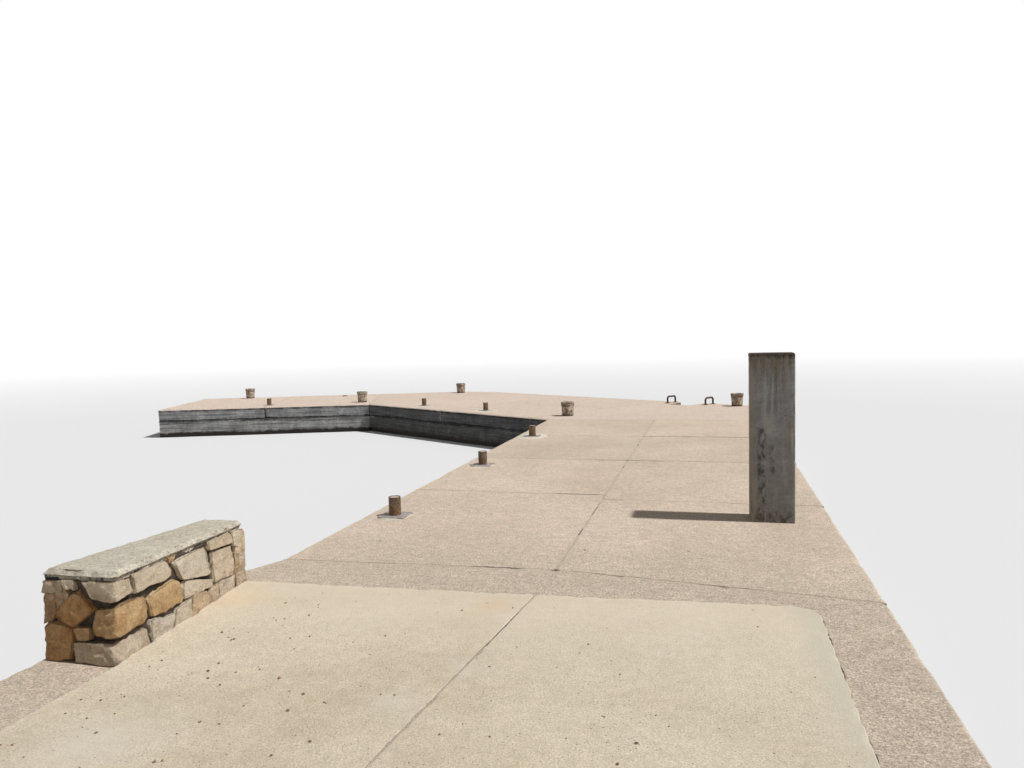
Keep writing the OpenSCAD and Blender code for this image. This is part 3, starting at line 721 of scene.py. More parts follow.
class Wiring:
    def __init__(self, tree):
        self.tree = tree

    def put(self, value, socket):
        if isinstance(value, bpy.types.NodeSocket):
            self.tree.links.new(value, socket)
        elif value is not None:
            socket.default_value = value

    def node(self, kind, ins=(), **props):
        # a shader node with its settings, and its inputs linked or set
        made = self.tree.nodes.new("ShaderNode" + kind)
        for key, value in props.items():
            setattr(made, key, value)
        for key, value in (ins.items() if isinstance(ins, dict) else enumerate(ins)):
            self.put(value, made.inputs[key])
        return made

    def grouped(self, tree, **ins):
        return self.node("Group", ins, node_tree=tree).outputs

    def parts(self, vector):
        return self.node("SeparateXYZ", (vector,)).outputs[:3]

    def attribute(self, name):
        return self.node("Attribute", attribute_name=name).outputs[2]

    def vector(self, operation, a, b=None, out=0):
        return self.node("VectorMath", (a, b), operation=operation).outputs[out]

    def calc(self, operation, *values):
        return self.node("Math", values, operation=operation).outputs[0]

    def times(self, first, *others):
        for other in others:
            first = self.calc("MULTIPLY", first, other)
        return first

    def minus(self, a, b):
        return self.calc("SUBTRACT", a, b)

    def onto(self, base, value, factor):
        # base + value * factor
        return self.calc("MULTIPLY_ADD", value, factor, base)

    def span(self, value, low, high, toLow=0.0, toHigh=1.0):
        # a value carried from one range to another, and kept within it
        return self.node("MapRange", (value, low, high, toLow, toHigh)).outputs[0]

    def spread(self, value, by, low=0.0, high=1.0):
        # a factor round 1: from 1 - by to 1 + by
        return self.span(value, low, high, 1 - by, 1 + by)

    def band(self, value, low, high, soft):
        # 1 between two values and 0 outside them, with soft ends
        return self.times(self.span(value, low - soft, low), self.span(value, high + soft, high))

    def noise(self, where, scale, detail=2.0, roughness=0.5, out=0):
        # a scale of three numbers stretches the noise
        if isinstance(scale, tuple):
            where, scale = self.vector("MULTIPLY", where, scale), 1.0
        ins = {"Vector": where, "Scale": scale, "Detail": detail, "Roughness": roughness}
        return self.node("TexNoise", ins).outputs[out]

    def patches(self, where, scale, detail, roughness, *ends):
        # noise with its range between two ends carried to 0 and 1, or to a third and a fourth value
        return self.span(self.noise(where, scale, detail, roughness), *ends)

    def cells(self, where, scale, channel):
        # distance from the middle of the nearest cell, and that cell's own random value
        found = self.node("TexVoronoi", {"Vector": where, "Scale": scale}).outputs
        return found[0], self.node("SeparateColor", (found[1],)).outputs[channel]

    def mixed(self, factor, a, b, blend="MIX"):
        a, b = [(v + (1.0,)) if isinstance(v, tuple) else v for v in (a, b)]
        return self.node("Mix", {0: factor, 6: a, 7: b}, data_type="RGBA", blend_type=blend).outputs[2]

    def tinted(self, colour, tint, *masks):
        # a colour laid over another one where the product of the masks is 1
        return self.mixed(self.times(*masks), colour, tint)

    def dimmed(self, colour, factor):
        grey = self.node("CombineColor", (factor, factor, factor)).outputs[0]
        return self.mixed(1.0, colour, grey, blend="MULTIPLY")


class Material(Wiring):
    # the wiring of a new material; "place" and "facing" are where a point lies and where it faces

    def __init__(self, name):
        self.made = bpy.data.materials.new(name)
        self.made.use_nodes = True
        super().__init__(self.made.node_tree)
        self.shader = self.tree.nodes["Principled BSDF"]
        given = self.node("TexCoord").outputs
        self.place, self.facing = given[3], given[1]

    def ended(self, colour, roughness, height, bump, depth, specular=0.5):
        relief = self.node("Bump", {"Strength": bump, "Distance": depth, "Height": height}).outputs[0]
        for socket, value in (("Base Color", colour), ("Roughness", roughness), ("Normal", relief),
                              ("Specular IOR Level", specular)):
            self.put(value, self.shader.inputs[socket])
        return self.made


def shaderGroup(name, build, *settings):
    # a node group fed with a position and numbers; "build" wires it and names its results
    tree = bpy.data.node_groups.new(name, "ShaderNodeTree")
    tree.interface.new_socket("Position", in_out="INPUT", socket_type="NodeSocketVector")
    for setting in settings:
        tree.interface.new_socket(setting, in_out="INPUT", socket_type="NodeSocketFloat")
    given = tree.nodes.new("NodeGroupInput").outputs
    results = build(Wiring(tree), *[given[key] for key in ("Position", *settings)])
    for result in results:
        tree.interface.new_socket(result, in_out="OUTPUT", socket_type="NodeSocketFloat")
    end = tree.nodes.new("NodeGroupOutput")
    for result, value in results.items():
        tree.links.new(value, end.inputs[result])
    return tree


def castMarks(w, place, pitSize):
    # what weather and the mix do to any cast surface: large blotches, patches, mottling, aggregate
    # grain, streaks of the screed board across the arm, scattered pits and clusters of pinholes
    mottle = w.patches(place, 17.0, 5.0, 0.72, 0.30, 0.70)
    grain = w.patches(place, 110.0, 4.0, 0.78, 0.37, 0.63)
    screed = w.patches(place, (3.5, 60.0, 60.0), 4.0, 0.7, 0.34, 0.66)
    shift = w.vector("MULTIPLY", w.noise(place, 60.0, 1.0, 0.5, out=1), (0.012, 0.012, 0.012))
    warped = w.vector("ADD", place, shift)
    away, size = w.cells(warped, 8.0, 0)
    pits = w.span(w.minus(w.times(w.span(size, 0.74, 1.0), pitSize), away), 0.0, 0.012)
    away, size = w.cells(warped, 55.0, 1)
    crowded = w.patches(place, 2.6, 3.0, 0.6, 0.44, 0.62, 0.45, 1.0)
    holes = w.span(w.minus(w.times(w.span(size, 0.30, 1.0, 0.0, 0.24), crowded), away), 0.0, 0.03)
    pits = w.calc("MAXIMUM", pits, w.times(holes, 0.8))
    away, size = w.cells(warped, 24.0, 2)
    dots = w.span(w.minus(w.span(size, 0.62, 1.0, 0.0, 0.16), away), 0.0, 0.02)
    pits = w.calc("MAXIMUM", pits, dots)
    height = w.onto(w.onto(w.times(mottle, 0.6), grain, 0.45), screed, 0.25)
    return {"Blotch": w.patches(place, 0.9, 5.0, 0.6, 0.36, 0.66),
            "Patch": w.patches(place, 3.6, 5.0, 0.62, 0.40, 0.64),
            "Mottle": mottle, "Grain": grain, "Screed": screed, "Pits": pits,
            "Specks": w.span(w.cells(place, 95.0, 1)[1], 0.72, 0.95),
            "Height": w.onto(height, pits, -1.5)}


def wallMarks(w, place):
    # what weather does to a wall: thin and broad runs, a wet band at its foot, dark lines at the lift joint,
    # and the shutter boards' tones; also painted shade under the deck's edge
    up = w.parts(place)[2]
    wet = w.span(w.onto(up, w.noise(place, (5.0, 5.0, 9.0), 4.0, 0.6), -0.16), 0.055, 0.0)
    ragged = w.patches(place, (6.0, 6.0, 9.0), 4.0, 0.65, 0.3, 0.7, 0.010, 0.046)
    fromJoint = w.calc("ABSOLUTE", w.minus(up, levels["lift"]))
    joint = w.times(w.span(w.minus(ragged, fromJoint), -0.004, 0.006),
                    w.patches(place, (2.0, 2.0, 1.0), 2.0, 0.5, 0.36, 0.48, 0.70, 1.0))
    # painted shade: a dark ragged band just under the deck's edge, where the pitted concrete lies in shadow
    underEdge = w.times(w.span(up, 0.600, 0.625), w.span(up, 0.662, 0.645),
                        w.patches(place, (4.0, 4.0, 14.0), 4.0, 0.7, 0.41, 0.51))
    return {"ThinRuns": w.patches(place, (26.0, 26.0, 1.6), 3.0, 0.55, 0.52, 0.72),
            "BroadRuns": w.patches(place, (4.0, 4.0, 0.8), 3.0, 0.6, 0.42, 0.68),
            "Wet": wet, "Joint": joint, "UnderEdge": underEdge,
            "Boards": w.noise(place, (1.2, 1.2, 30.0))}


markGroup = shaderGroup("CastMarks", castMarks, "PitSize")
wallGroup = shaderGroup("WallMarks", wallMarks)


# Concrete and mortar

def castMaterial(name, look):
    w = Material(name)
    place = w.place
    x, y, _ = w.parts(place)
    marks = w.grouped(markGroup, Position=place, PitSize=look["pitSize"])
    walls = w.grouped(wallGroup, Position=place)
    w.isTop = w.span(w.parts(w.facing)[2], 0.35, 0.75)
    # the top: pale and warm, blotched, brushed across, speckled by its aggregate, with dark pits
    top = w.mixed(marks["Blotch"], look["dark"], look["light"])
    top = w.tinted(top, look["patchColour"], marks["Patch"], look["patch"])
    # the oldest part: up to the first joint and a little past it, most of all beside the topping
    aged = w.span(w.onto(y, w.noise(place, 1.3, 4.0, 0.6), 1.6), 1.55, 0.45)
    aged = w.times(aged, w.span(x, -1.2, 1.6, 0.55, 1.0), look["aged"])
    top = w.tinted(top, look["freshColour"], w.attribute("fresh"), 0.7)
    top = w.tinted(top, look["agedColour"], aged, 0.75)
    top = w.tinted(top, look["agedLight"], aged, w.patches(place, 62.0, 4.0, 0.75, 0.44, 0.58), 0.52)
    top = w.tinted(top, look["speckColour"], marks["Specks"], w.span(aged, 0.0, 1.0, look["specks"], 0.55))
    bright = [w.spread(marks[mark.title()], look[mark]) for mark in ("grain", "mottle", "screed")]
    top = w.dimmed(top, w.times(*bright))
    top = w.tinted(top, look["pitColour"], marks["Pits"], look["pits"])
    # along block edges: a dark band beside the joints, and a pale band along the free edges that is a painted
    # highlight
    rimColour = w.mixed(w.attribute("freeSide"), look["jointColour"], look["rimColour"])
    top = w.tinted(top, rimColour, w.attribute("edgeNear"),
                   w.patches(place, 16.0, 4.0, 0.65, 0.35, 0.6), look["rim"])
    # the walls: greyer, streaked, dark at the lift joint and at the foot
    side = w.mixed(marks["Mottle"], look["wallDark"], look["wallLight"])
    for colour, mask, strength in (("runColour", marks["Patch"], "wallPatch"),
                                   ("runColour", walls["BroadRuns"], "broadRuns"),
                                   ("thinColour", walls["ThinRuns"], "thinRuns"),
                                   ("pitColour", marks["Pits"], "wallPits")):
        side = w.tinted(side, look[colour], mask, look[strength])
    side = w.dimmed(side, w.spread(marks["Grain"], 0.18))
    side = w.dimmed(side, w.spread(walls["Boards"], look["boardTone"], 0.36, 0.64))
    # painted shade under the deck's edge
    side = w.tinted(side, (0.03, 0.03, 0.032), walls["UnderEdge"], look["underEdge"])
    side = w.tinted(side, (0.010, 0.010, 0.013), walls["Joint"], look["jointDark"])
    # painted shade: faces turned like the head's basin side, away from the sun, are darkened
    shaded = w.span(w.vector("DOT_PRODUCT", w.facing, (-0.53, -0.848, 0.0), out=1), 0.80, 0.95)
    side = w.dimmed(side, w.onto(1.0, shaded, -look["damp"]))
    side = w.mixed(walls["Wet"], side, look["wetColour"])
    colour = w.mixed(w.isTop, side, top)
    colour = w.tinted(colour, look["chipColour"], w.attribute("bitten"), look["bitten"])
    colour = w.dimmed(colour, w.spread(w.attribute("tone"), look["tone"]))
    if look["extra"]:
        colour = look["extra"](w, colour)
    rough = w.minus(w.span(walls["Wet"], 0.0, 1.0, look["rough"], 0.45), 0.06)
    rough = w.onto(rough, marks["Grain"], 0.12)
    height = w.onto(marks["Height"], walls["Boards"], w.times(w.minus(1.0, w.isTop), 0.6))
    w.made.diffuse_color = look["light"] + (1.0,)
    return w.ended(colour, rough, height, look["bump"], look["bumpDepth"], 0.25)


def spotMask(w, spot, reach, size=9.0):
    # from 1 at a spot to 0 at its reach, with an edge broken up by noise
    away = w.vector("DISTANCE", w.place, spot, out=1)
    return w.span(w.onto(away, w.noise(w.place, size, 4.0, 0.7), reach * 1.6), reach * 1.9, reach * 0.6)


def pinholed(w, colour, z, spots, dark, strength):
    # places where the skin is worn off, each x, y and reach: crowds of fine dark holes
    fine = w.patches(w.place, 95.0, 3.0, 0.75, 0.54, 0.62)
    for x, y, reach in spots:
        colour = w.tinted(colour, dark, spotMask(w, (x, y, z), reach, 5.0), fine, strength)
    return colour


def deckStains(w, colour):
    # the worn places of the first slabs, dark bands along the joints across the arm, and rust washed out over
    # the deck from the hoops' feet
    worn = [(0.95, 0.30, 0.45), (-0.45, 0.80, 0.30), (0.35, -0.15, 0.22), (-0.40, 0.15, 0.20),
            (-1.20, 1.75, 0.38), (-0.95, 0.95, 0.30), (-0.75, 3.05, 0.35), (0.60, 1.15, 0.30)]
    colour = pinholed(w, colour, levels["deck"], worn, (0.30, 0.24, 0.175), 0.65)
    x, y, _ = w.parts(w.place)
    for x0, x1, line, slope, half, strength in (
            (-0.55, -0.26, 0.05, 0.055, 0.006, 0.80), (0.15, 0.55, 0.05, -0.145, 0.006, 0.30),
            (0.9, 1.25, 0.05, -0.145, 0.006, 0.45), (-0.48, -0.02, 2.53, 0.0, 0.008, 0.85),
            (-0.35, 0.45, 4.66, 0.0, 0.014, 0.60), (0.75, 1.40, 4.66, 0.0, 0.010, 0.40),
            (-1.00, -0.70, 6.99, 0.0, 0.014, 0.40), (0.05, 1.90, 6.99, 0.0, 0.018, 0.70)):
        away = w.minus(w.onto(y, x, -slope), line + 0.015)
        away = w.onto(away, w.noise(w.place, 28.0, 3.0, 0.7), 0.030)
        colour = w.tinted(colour, (0.105, 0.080, 0.060), w.band(x, x0, x1, 0.05),
                          w.band(away, -half, half, 0.009), strength)
    for spot in ((0.89, 12.37), (1.05, 12.63), (0.05, 12.81), (0.21, 13.07)):
        mask = spotMask(w, spot + (levels["deck"],), 0.20)
        colour = w.tinted(colour, (0.52, 0.31, 0.15), mask, 0.55)
    return colour


def toppingStain(w, colour):
    # paler towards the far edge and the right one, with two patches of orange sand trodden in
    x, y, _ = w.parts(w.place)
    far = w.span(w.onto(y, w.noise(w.place, 2.0, 3.0, 0.6), 0.8), -1.1, -0.4)
    colour = w.tinted(colour, (0.76, 0.655, 0.515), far, 0.6)
    right = w.span(w.onto(x, w.noise(w.place, 3.0, 4.0, 0.65), 0.35), 1.60, 1.72)
    colour = w.tinted(colour, (0.625, 0.575, 0.455), right, 0.75)
    height = 0.69
    grey, orange, sand = (0.69, 0.64, 0.53), (0.74, 0.50, 0.28), (0.78, 0.60, 0.38)
    for x, y, reach in ((-1.36, -2.55, 0.40), (-0.30, -2.0, 0.16), (-0.10, -1.6, 0.14)):
        colour = w.tinted(colour, grey, spotMask(w, (x, y, height), reach, 2.5), 0.6)
    worn = [(0.256, -1.257, 0.28), (-1.33, -2.05, 0.18), (0.70, -0.90, 0.16), (1.20, -0.95, 0.25),
            (-0.55, -2.35, 0.35)]
    colour = pinholed(w, colour, height, worn, (0.36, 0.30, 0.215), 0.6)
    for x, y, reach, size, strength, stain in ((-0.22, -0.76, 0.14, 6.0, 0.45, orange),
                                               (-1.80, -0.95, 0.30, 4.0, 0.50, sand)):
        colour = w.tinted(colour, stain, spotMask(w, (x, y, height), reach, size), strength)
    return colour


def postMarks(w, colour):
    # the post's near face: a pale run in the middle, rust down its right side, a dark patch, a pale
    # left arris, two chains of dark spots, a dark foot and a dark weathered top
    x, _, z = w.parts(w.place)
    across = w.minus(w.onto(x, w.noise(w.place, (14.0, 14.0, 5.0), 4.0, 0.65), 0.06), 0.03)
    clots = w.patches(w.place, (26.0, 26.0, 15.0), 4.0, 0.7, 0.44, 0.60)
    drips = w.patches(w.place, (30.0, 30.0, 3.0), 4.0, 0.6, 0.40, 0.60)
    rust, dark, black = (0.27, 0.165, 0.06), (0.12, 0.12, 0.125), (0.045, 0.038, 0.033)

    def patch(under, tint, left, right, foot, head, softX, softZ, *masks):
        # a tint between two x values and two heights
        return w.tinted(under, tint, w.band(across, left, right, softX), w.band(z, foot, head, softZ), *masks)

    colour = patch(colour, (0.46, 0.44, 0.41), 1.45, 1.50, 1.42, 1.80, 0.03, 0.10, 0.35)
    for *area, strength in ((1.58, 1.63, 1.82, 2.03, 0.85), (1.63, 1.64, 1.30, 1.42, 0.70),
                             (1.67, 1.69, 1.05, 1.70, 0.35), (1.40, 1.56, 1.90, 2.05, 0.45)):
        colour = patch(colour, rust, *area, 0.015, 0.12, drips, strength)
    colour = patch(colour, dark, 1.45, 1.58, 1.62, 1.86, 0.04, 0.10, drips, 0.6)
    colour = w.tinted(colour, (0.34, 0.265, 0.195), w.span(across, 1.372, 1.350),
                      w.span(drips, 0.0, 1.0, 0.55, 1.0), 0.7)
    for *area, strength in ((1.405, 1.440, 0.72, 1.44, 0.85), (1.50, 1.515, 1.10, 1.28, 0.75),
                             (1.36, 1.66, 0.66, 0.74, 0.70)):
        colour = patch(colour, black, *area, 0.022, 0.05, clots, strength)
    colour = w.tinted(colour, (0.125, 0.088, 0.052), w.span(w.onto(z, drips, 0.12), 1.86, 2.12), 0.6)
    return w.tinted(colour, (0.035, 0.024, 0.017), w.span(w.onto(z, clots, 0.030), 2.035, 2.070), 0.9)


def bollardMarks(w, colour):
    # pale and dark clots, a rusty band under the lip, two dark lines of painted shade round the lip and the
    # rim, and a dark ragged foot of painted shade
    ragged = w.onto(w.minus(w.parts(w.place)[2], 0.025), w.noise(w.place, 22.0, 4.0, 0.65), 0.05)
    clots = w.noise(w.place, 15.0, 4.0, 0.68)
    colour = w.tinted(colour, (0.74, 0.66, 0.54), w.span(clots, 0.50, 0.57), 0.70)
    colour = w.tinted(colour, (0.11, 0.085, 0.062), w.span(clots, 0.45, 0.38), 0.62)
    colour = w.tinted(colour, (0.17, 0.085, 0.04), w.band(ragged, 0.865, 0.885, 0.010),
                      w.patches(w.place, 9.0, 3.0, 0.6, 0.40, 0.55), 0.8)
    # two dark lines of painted shade round the lip and the rim
    wavy = w.onto(w.attribute("upness"), w.noise(w.place, 12.0, 3.0, 0.6), 0.10)
    for middle in (0.84, 0.955):
        colour = w.tinted(colour, (0.060, 0.042, 0.030), w.band(wavy, middle, middle + 0.018, 0.012),
                          w.span(w.noise(w.place, 7.0), 0.38, 0.48), 0.8)
    # painted shade: a dark ragged foot where it meets the deck
    return w.tinted(colour, (0.05, 0.04, 0.03), w.span(ragged, 0.715, 0.69), 0.75)


def mortarSpots(w, colour):
    # the small stones and the holes that show in the coping's ragged side, fewer of them on its top
    side = w.span(w.isTop, 0.0, 1.0, 0.85, 0.22)
    spots = w.noise(w.place, 48.0, 4.0, 0.72)
    colour = w.tinted(colour, (0.86, 0.81, 0.70), w.span(spots, 0.46, 0.39), side)
    return w.tinted(colour, (0.095, 0.078, 0.058), w.span(spots, 0.54, 0.59), side)


deckLook = {
    "dark": (0.605, 0.487, 0.385), "light": (0.715, 0.586, 0.470),
    "patch": 0.30, "patchColour": (0.60, 0.51, 0.385), "mottle": 0.13, "screed": 0.07,
    "aged": 1.0, "agedColour": (0.510, 0.415, 0.325), "agedLight": (0.79, 0.685, 0.55),
    "freshColour": (0.740, 0.602, 0.508),
    "specks": 0.36, "speckColour": (0.35, 0.28, 0.21), "grain": 0.36,
    "pits": 0.9, "pitSize": 0.11, "pitColour": (0.10, 0.08, 0.06),
    # the pale colour along the free edges is a painted highlight
    "rim": 0.60, "rimColour": (0.78, 0.68, 0.55), "jointColour": (0.47, 0.375, 0.285),
    "wallDark": (0.19, 0.195, 0.195), "wallLight": (0.46, 0.455, 0.445), "wallPatch": 0.45,
    # painted shade on the head's basin side is set at the end of the next line
    # painted shade under the deck's edge is also set on the next line
    "broadRuns": 0.50, "runColour": (0.14, 0.14, 0.145), "underEdge": 0.8, "damp": 0.66,
    "thinRuns": 0.22, "thinColour": (0.52, 0.50, 0.47), "wallPits": 0.8, "boardTone": 0.30,
    "jointDark": 0.96, "wetColour": (0.016, 0.012, 0.009),
    "bitten": 0.35, "chipColour": (0.50, 0.42, 0.335), "tone": 0.035,
    "rough": 0.88, "bump": 0.6, "bumpDepth": 0.006, "extra": deckStains}
plainSides = {"aged": 0.0, "boardTone": 0.05, "jointDark": 0.0, "underEdge": 0.0, "damp": 0.0}

castLooks = {
    "deck_concrete": {},
    "wall_concrete": {
        # painted shade: the tops are far darker than the sides, for the lift's top in the gap under the slab;
        # the steps' treads get it too
        "aged": 0.0, "dark": (0.07, 0.066, 0.062), "light": (0.13, 0.125, 0.115), "patch": 0.0,
        "rim": 0.0, "specks": 0.15, "wallDark": (0.215, 0.218, 0.215), "wallLight": (0.50, 0.49, 0.47),
        "bump": 0.7, "bumpDepth": 0.009, "tone": 0.06, "chipColour": (0.22, 0.21, 0.19), "extra": None},
    "topping_concrete": {
        **plainSides, "dark": (0.60, 0.505, 0.37), "light": (0.71, 0.62, 0.475), "patch": 0.45,
        "patchColour": (0.70, 0.60, 0.475), "specks": 0.22, "speckColour": (0.44, 0.37, 0.27),
        "grain": 0.19, "mottle": 0.08, "screed": 0.02, "pits": 0.95, "pitSize": 0.10,
        # a pale painted highlight along the topping's free edges
        "rimColour": (0.83, 0.75, 0.62), "jointColour": (0.60, 0.52, 0.41),
        "wallDark": (0.42, 0.36, 0.29), "wallLight": (0.55, 0.48, 0.39), "broadRuns": 0.2,
        "thinRuns": 0.1, "chipColour": (0.50, 0.42, 0.32), "tone": 0.012, "bump": 0.5,
        "bumpDepth": 0.005, "extra": toppingStain},
    "post_concrete": {
        **plainSides, "dark": (0.13, 0.10, 0.075), "light": (0.24, 0.19, 0.14), "patch": 0.5,
        "patchColour": (0.09, 0.065, 0.045), "rim": 0.1, "specks": 0.3,
        "wallDark": (0.215, 0.212, 0.208), "wallLight": (0.335, 0.332, 0.328), "wallPatch": 0.30,
        "broadRuns": 0.30, "runColour": (0.19, 0.18, 0.17), "thinRuns": 0.30,
        "thinColour": (0.45, 0.445, 0.435), "pits": 0.6, "wallPits": 0.5, "bitten": 0.5,
        "chipColour": (0.36, 0.32, 0.28), "tone": 0.0, "bumpDepth": 0.004, "extra": postMarks},
    "bollard_concrete": {
        **plainSides, "dark": (0.13, 0.105, 0.08), "light": (0.30, 0.25, 0.195), "patch": 0.5,
        "patchColour": (0.10, 0.08, 0.055), "rim": 0.0, "specks": 0.3, "wallDark": (0.26, 0.22, 0.165),
        "wallLight": (0.47, 0.40, 0.31), "wallPatch": 0.3, "runColour": (0.22, 0.17, 0.12),
        "thinRuns": 0.35, "thinColour": (0.30, 0.18, 0.10), "tone": 0.0, "bitten": 0.5,
        "chipColour": (0.55, 0.47, 0.37), "bump": 0.7, "bumpDepth": 0.004, "extra": bollardMarks},
    "fill_concrete": {
        "aged": 0.0, "dark": (0.42, 0.37, 0.31), "light": (0.66, 0.59, 0.50), "patch": 0.3,
        "specks": 0.3, "rim": 0.0, "bitten": 0.2, "tone": 0.0, "bump": 0.7, "bumpDepth": 0.003,
        "extra": None},
    "mortar": {
        **plainSides, "dark": (0.64, 0.57, 0.44), "light": (0.86, 0.785, 0.635), "patch": 0.4,
        "patchColour": (0.80, 0.735, 0.60), "rim": 0.0, "specks": 0.34, "speckColour": (0.30, 0.25, 0.19),
        "grain": 0.18, "wallDark": (0.42, 0.37, 0.29), "wallLight": (0.80, 0.72, 0.58),
        "wallPatch": 0.3, "runColour": (0.20, 0.165, 0.125), "broadRuns": 0.2, "thinRuns": 0.15,
        "thinColour": (0.26, 0.22, 0.17), "pitSize": 0.09, "wallPits": 0.9, "tone": 0.0,
        "chipColour": (0.46, 0.40, 0.31), "bump": 0.9, "bumpDepth": 0.008, "extra": mortarSpots}}
castLooks["patch_mortar"] = {
    **castLooks["mortar"], "dark": (0.72, 0.64, 0.53), "light": (0.86, 0.79, 0.68), "patch": 0.2,
    "specks": 0.12, "grain": 0.10}
materials = {name: castMaterial(name, {**deckLook, **look}) for name, look in castLooks.items()}


# Stone, earth and steel

# the earth colour darkens the stones' edges: joint dirt and painted shade
stoneLook = {"brown": (0.37, 0.27, 0.20), "orange": (0.50, 0.205, 0.050), "white": (0.95, 0.855, 0.715),
             "cream": (0.96, 0.67, 0.33), "vein": (0.55, 0.42, 0.27), "stain": (0.34, 0.18, 0.075),
             "lichen": (0.15, 0.14, 0.125), "earth": (0.115, 0.080, 0.050)}
earthLooks = {
    "joint_dirt": {"dark": (0.06, 0.05, 0.04), "light": (0.13, 0.105, 0.08), "filled": (0.60, 0.49, 0.375)},
    "wall_core": {"dark": (0.030, 0.022, 0.015), "light": (0.12, 0.09, 0.062), "filled": None}}
rustLook = {"dark": (0.060, 0.038, 0.026), "light": (0.235, 0.145, 0.070), "patch": (0.33, 0.19, 0.070),
            "grey": (0.20, 0.18, 0.155), "greyShare": 0.5, "rough": 0.86, "bump": 0.7}
rustLooks = {
    "rusty_steel": rustLook,
    "plate_steel": {
        "dark": (0.24, 0.20, 0.19), "light": (0.42, 0.37, 0.34), "patch": (0.30, 0.19, 0.12),
        "grey": (0.47, 0.43, 0.42), "greyShare": 0.8, "rough": 0.75, "bump": 0.4},
    "hoop_steel": {
        **rustLook, "dark": (0.028, 0.018, 0.013), "light": (0.10, 0.060, 0.036),
        "patch": (0.14, 0.075, 0.035), "grey": (0.09, 0.075, 0.065)}}


def stoneMaterial(name, look):
    # each stone has its own tint: "warm" from cream to orange, "pale" from brown to white; the edge mark is 1
    # along its edges, which are darkened by dirt from the joint and by painted shade where the stones meet
    w = Material(name)
    place = w.place
    marks = w.grouped(markGroup, Position=place, PitSize=0.2)
    warm, pale = w.attribute("warm"), w.attribute("pale")
    own = w.vector("ADD", place, w.node("CombineXYZ", (w.attribute("number"), pale, warm)).outputs[0])
    cloudy = w.calc("ADD", w.patches(own, 11.0, 6.0, 0.68, 0.3, 0.7, -0.30, 0.45), pale)
    brown = w.mixed(warm, look["brown"], look["orange"])
    cream = w.mixed(warm, look["white"], look["cream"])
    colour = w.mixed(w.span(cloudy, 0.0, 1.0), brown, cream)
    edgeBreakup = w.patches(place, 30.0, 3.0, 0.6, 0.35, 0.55, 0.4, 1.0)
    # the last tint darkens each stone's edges: dirt from the joint, and painted shade where the stones meet
    for tint, *masks in (("vein", w.patches(own, (9.0, 9.0, 26.0), 6.0, 0.72, 0.46, 0.64), 0.14),
                         ("stain", w.patches(own, 13.0, 5.0, 0.70, 0.58, 0.66), 0.45),
                         ("lichen", w.patches(place, 42.0, 4.0, 0.7, 0.62, 0.70), 0.45),
                         ("lichen", marks["Pits"], 0.6),
                         ("earth", w.attribute("bed"), edgeBreakup, 0.75)):
        colour = w.tinted(colour, look[tint], *masks)
    colour = w.dimmed(colour, w.spread(marks["Grain"], 0.16))
    height = w.onto(marks["Height"], w.noise(own, 17.0, 7.0, 0.70), 2.4)
    return w.ended(colour, 0.88, height, 0.9, 0.014, 0.2)


def earthMaterial(name, look):
    # dirt in the joints, pale where they are full of sand, and the shaded mortar between the stones
    w = Material(name)
    marks = w.grouped(markGroup, Position=w.place, PitSize=0.3)
    patches = w.patches(w.place, 6.0, 4.0, 0.6, 0.42, 0.62)
    colour = w.mixed(patches, look["dark"], look["light"])
    if look["filled"]:
        sand = w.mixed(patches, look["filled"], tuple(0.86 * v for v in look["filled"]))
        colour = w.mixed(w.attribute("soil"), sand, colour)
    colour = w.dimmed(colour, w.span(marks["Grain"], 0.0, 1.0, 0.82, 1.15))
    return w.ended(colour, 0.95, marks["Height"], 0.9, 0.006)


def rustMaterial(name, look):
    w = Material(name)
    marks = w.grouped(markGroup, Position=w.place, PitSize=0.25)
    flakes = w.patches(w.place, 45.0, 5.0, 0.7, 0.38, 0.62)
    colour = w.mixed(flakes, look["dark"], look["light"])
    colour = w.tinted(colour, look["patch"], w.patches(w.place, 16.0, 4.0, 0.6, 0.52, 0.68), 0.6)
    grey = w.patches(w.place, 9.0, 3.0, 0.6, 0.50, 0.66)
    colour = w.tinted(colour, look["grey"], grey, look["greyShare"])
    colour = w.dimmed(colour, w.spread(marks["Grain"], 0.25))
    rough = w.span(flakes, 0.0, 1.0, look["rough"] - 0.15, look["rough"])
    return w.ended(colour, rough, w.calc("ADD", flakes, marks["Height"]), look["bump"], 0.002)


materials["limestone"] = stoneMaterial("limestone", stoneLook)
materials.update({name: rustMaterial(name, look) for name, look in rustLooks.items()})
materials.update({name: earthMaterial(name, look) for name, look in earthLooks.items()})
print("materials made:", len(materials))


# The body of the jetty

def standingBlock(kind, corners, bottom, top, seed, **changes):
    # a block that is free on all its sides
    return castBlock(corners, np.ones(len(corners), bool), bottom, top, blockLook(kind, **changes), seed)


def addBlock(kind, name, outlines, material, nodes=(), slot=None, **changes):
    # standing blocks in one piece, each from its own outline, bottom and top
    parts = [standingBlock(kind, *outline, 71 + 10 * number, **changes)
             for number, outline in enumerate(outlines)]
    addPiece(name, parts, material, nodes, slot)


slabs, freeSlabs = addLayer("slab")
lifts = addLayer("lower_lift")[0]
toppings, freeToppings = addLayer("topping")
dirt = jointDirt(slabs, freeSlabs, levels["deck"], openJoints["deck"], 31)
dirt += jointDirt(toppings, freeToppings, levels["topping"], openJoints["topping"], 60)
dirt += sweptDirt(toppings, freeToppings, levels["deck"])
addPiece("joint_dirt", dirt, "joint_dirt", slot="mortar")
print("blocks cast:", len(slabs) + len(lifts) + len(toppings))

steps = [(sectionOutline("boarding_steps", height), 0.0, top) for height, top in ((0.1, 0.22), (0.3, 0.445))]
addBlock("step", "boarding_steps_cast", steps, "wall_concrete", ["boarding_steps"])
post = [(sectionOutline("square_post", 1.3), levels["deck"], 2.067)]
addBlock("post", "square_post_cast", post, "post_concrete", ["square_post"])
print("steps and post done")


# The parapet: stones bedded on a dark core, under a ragged coping

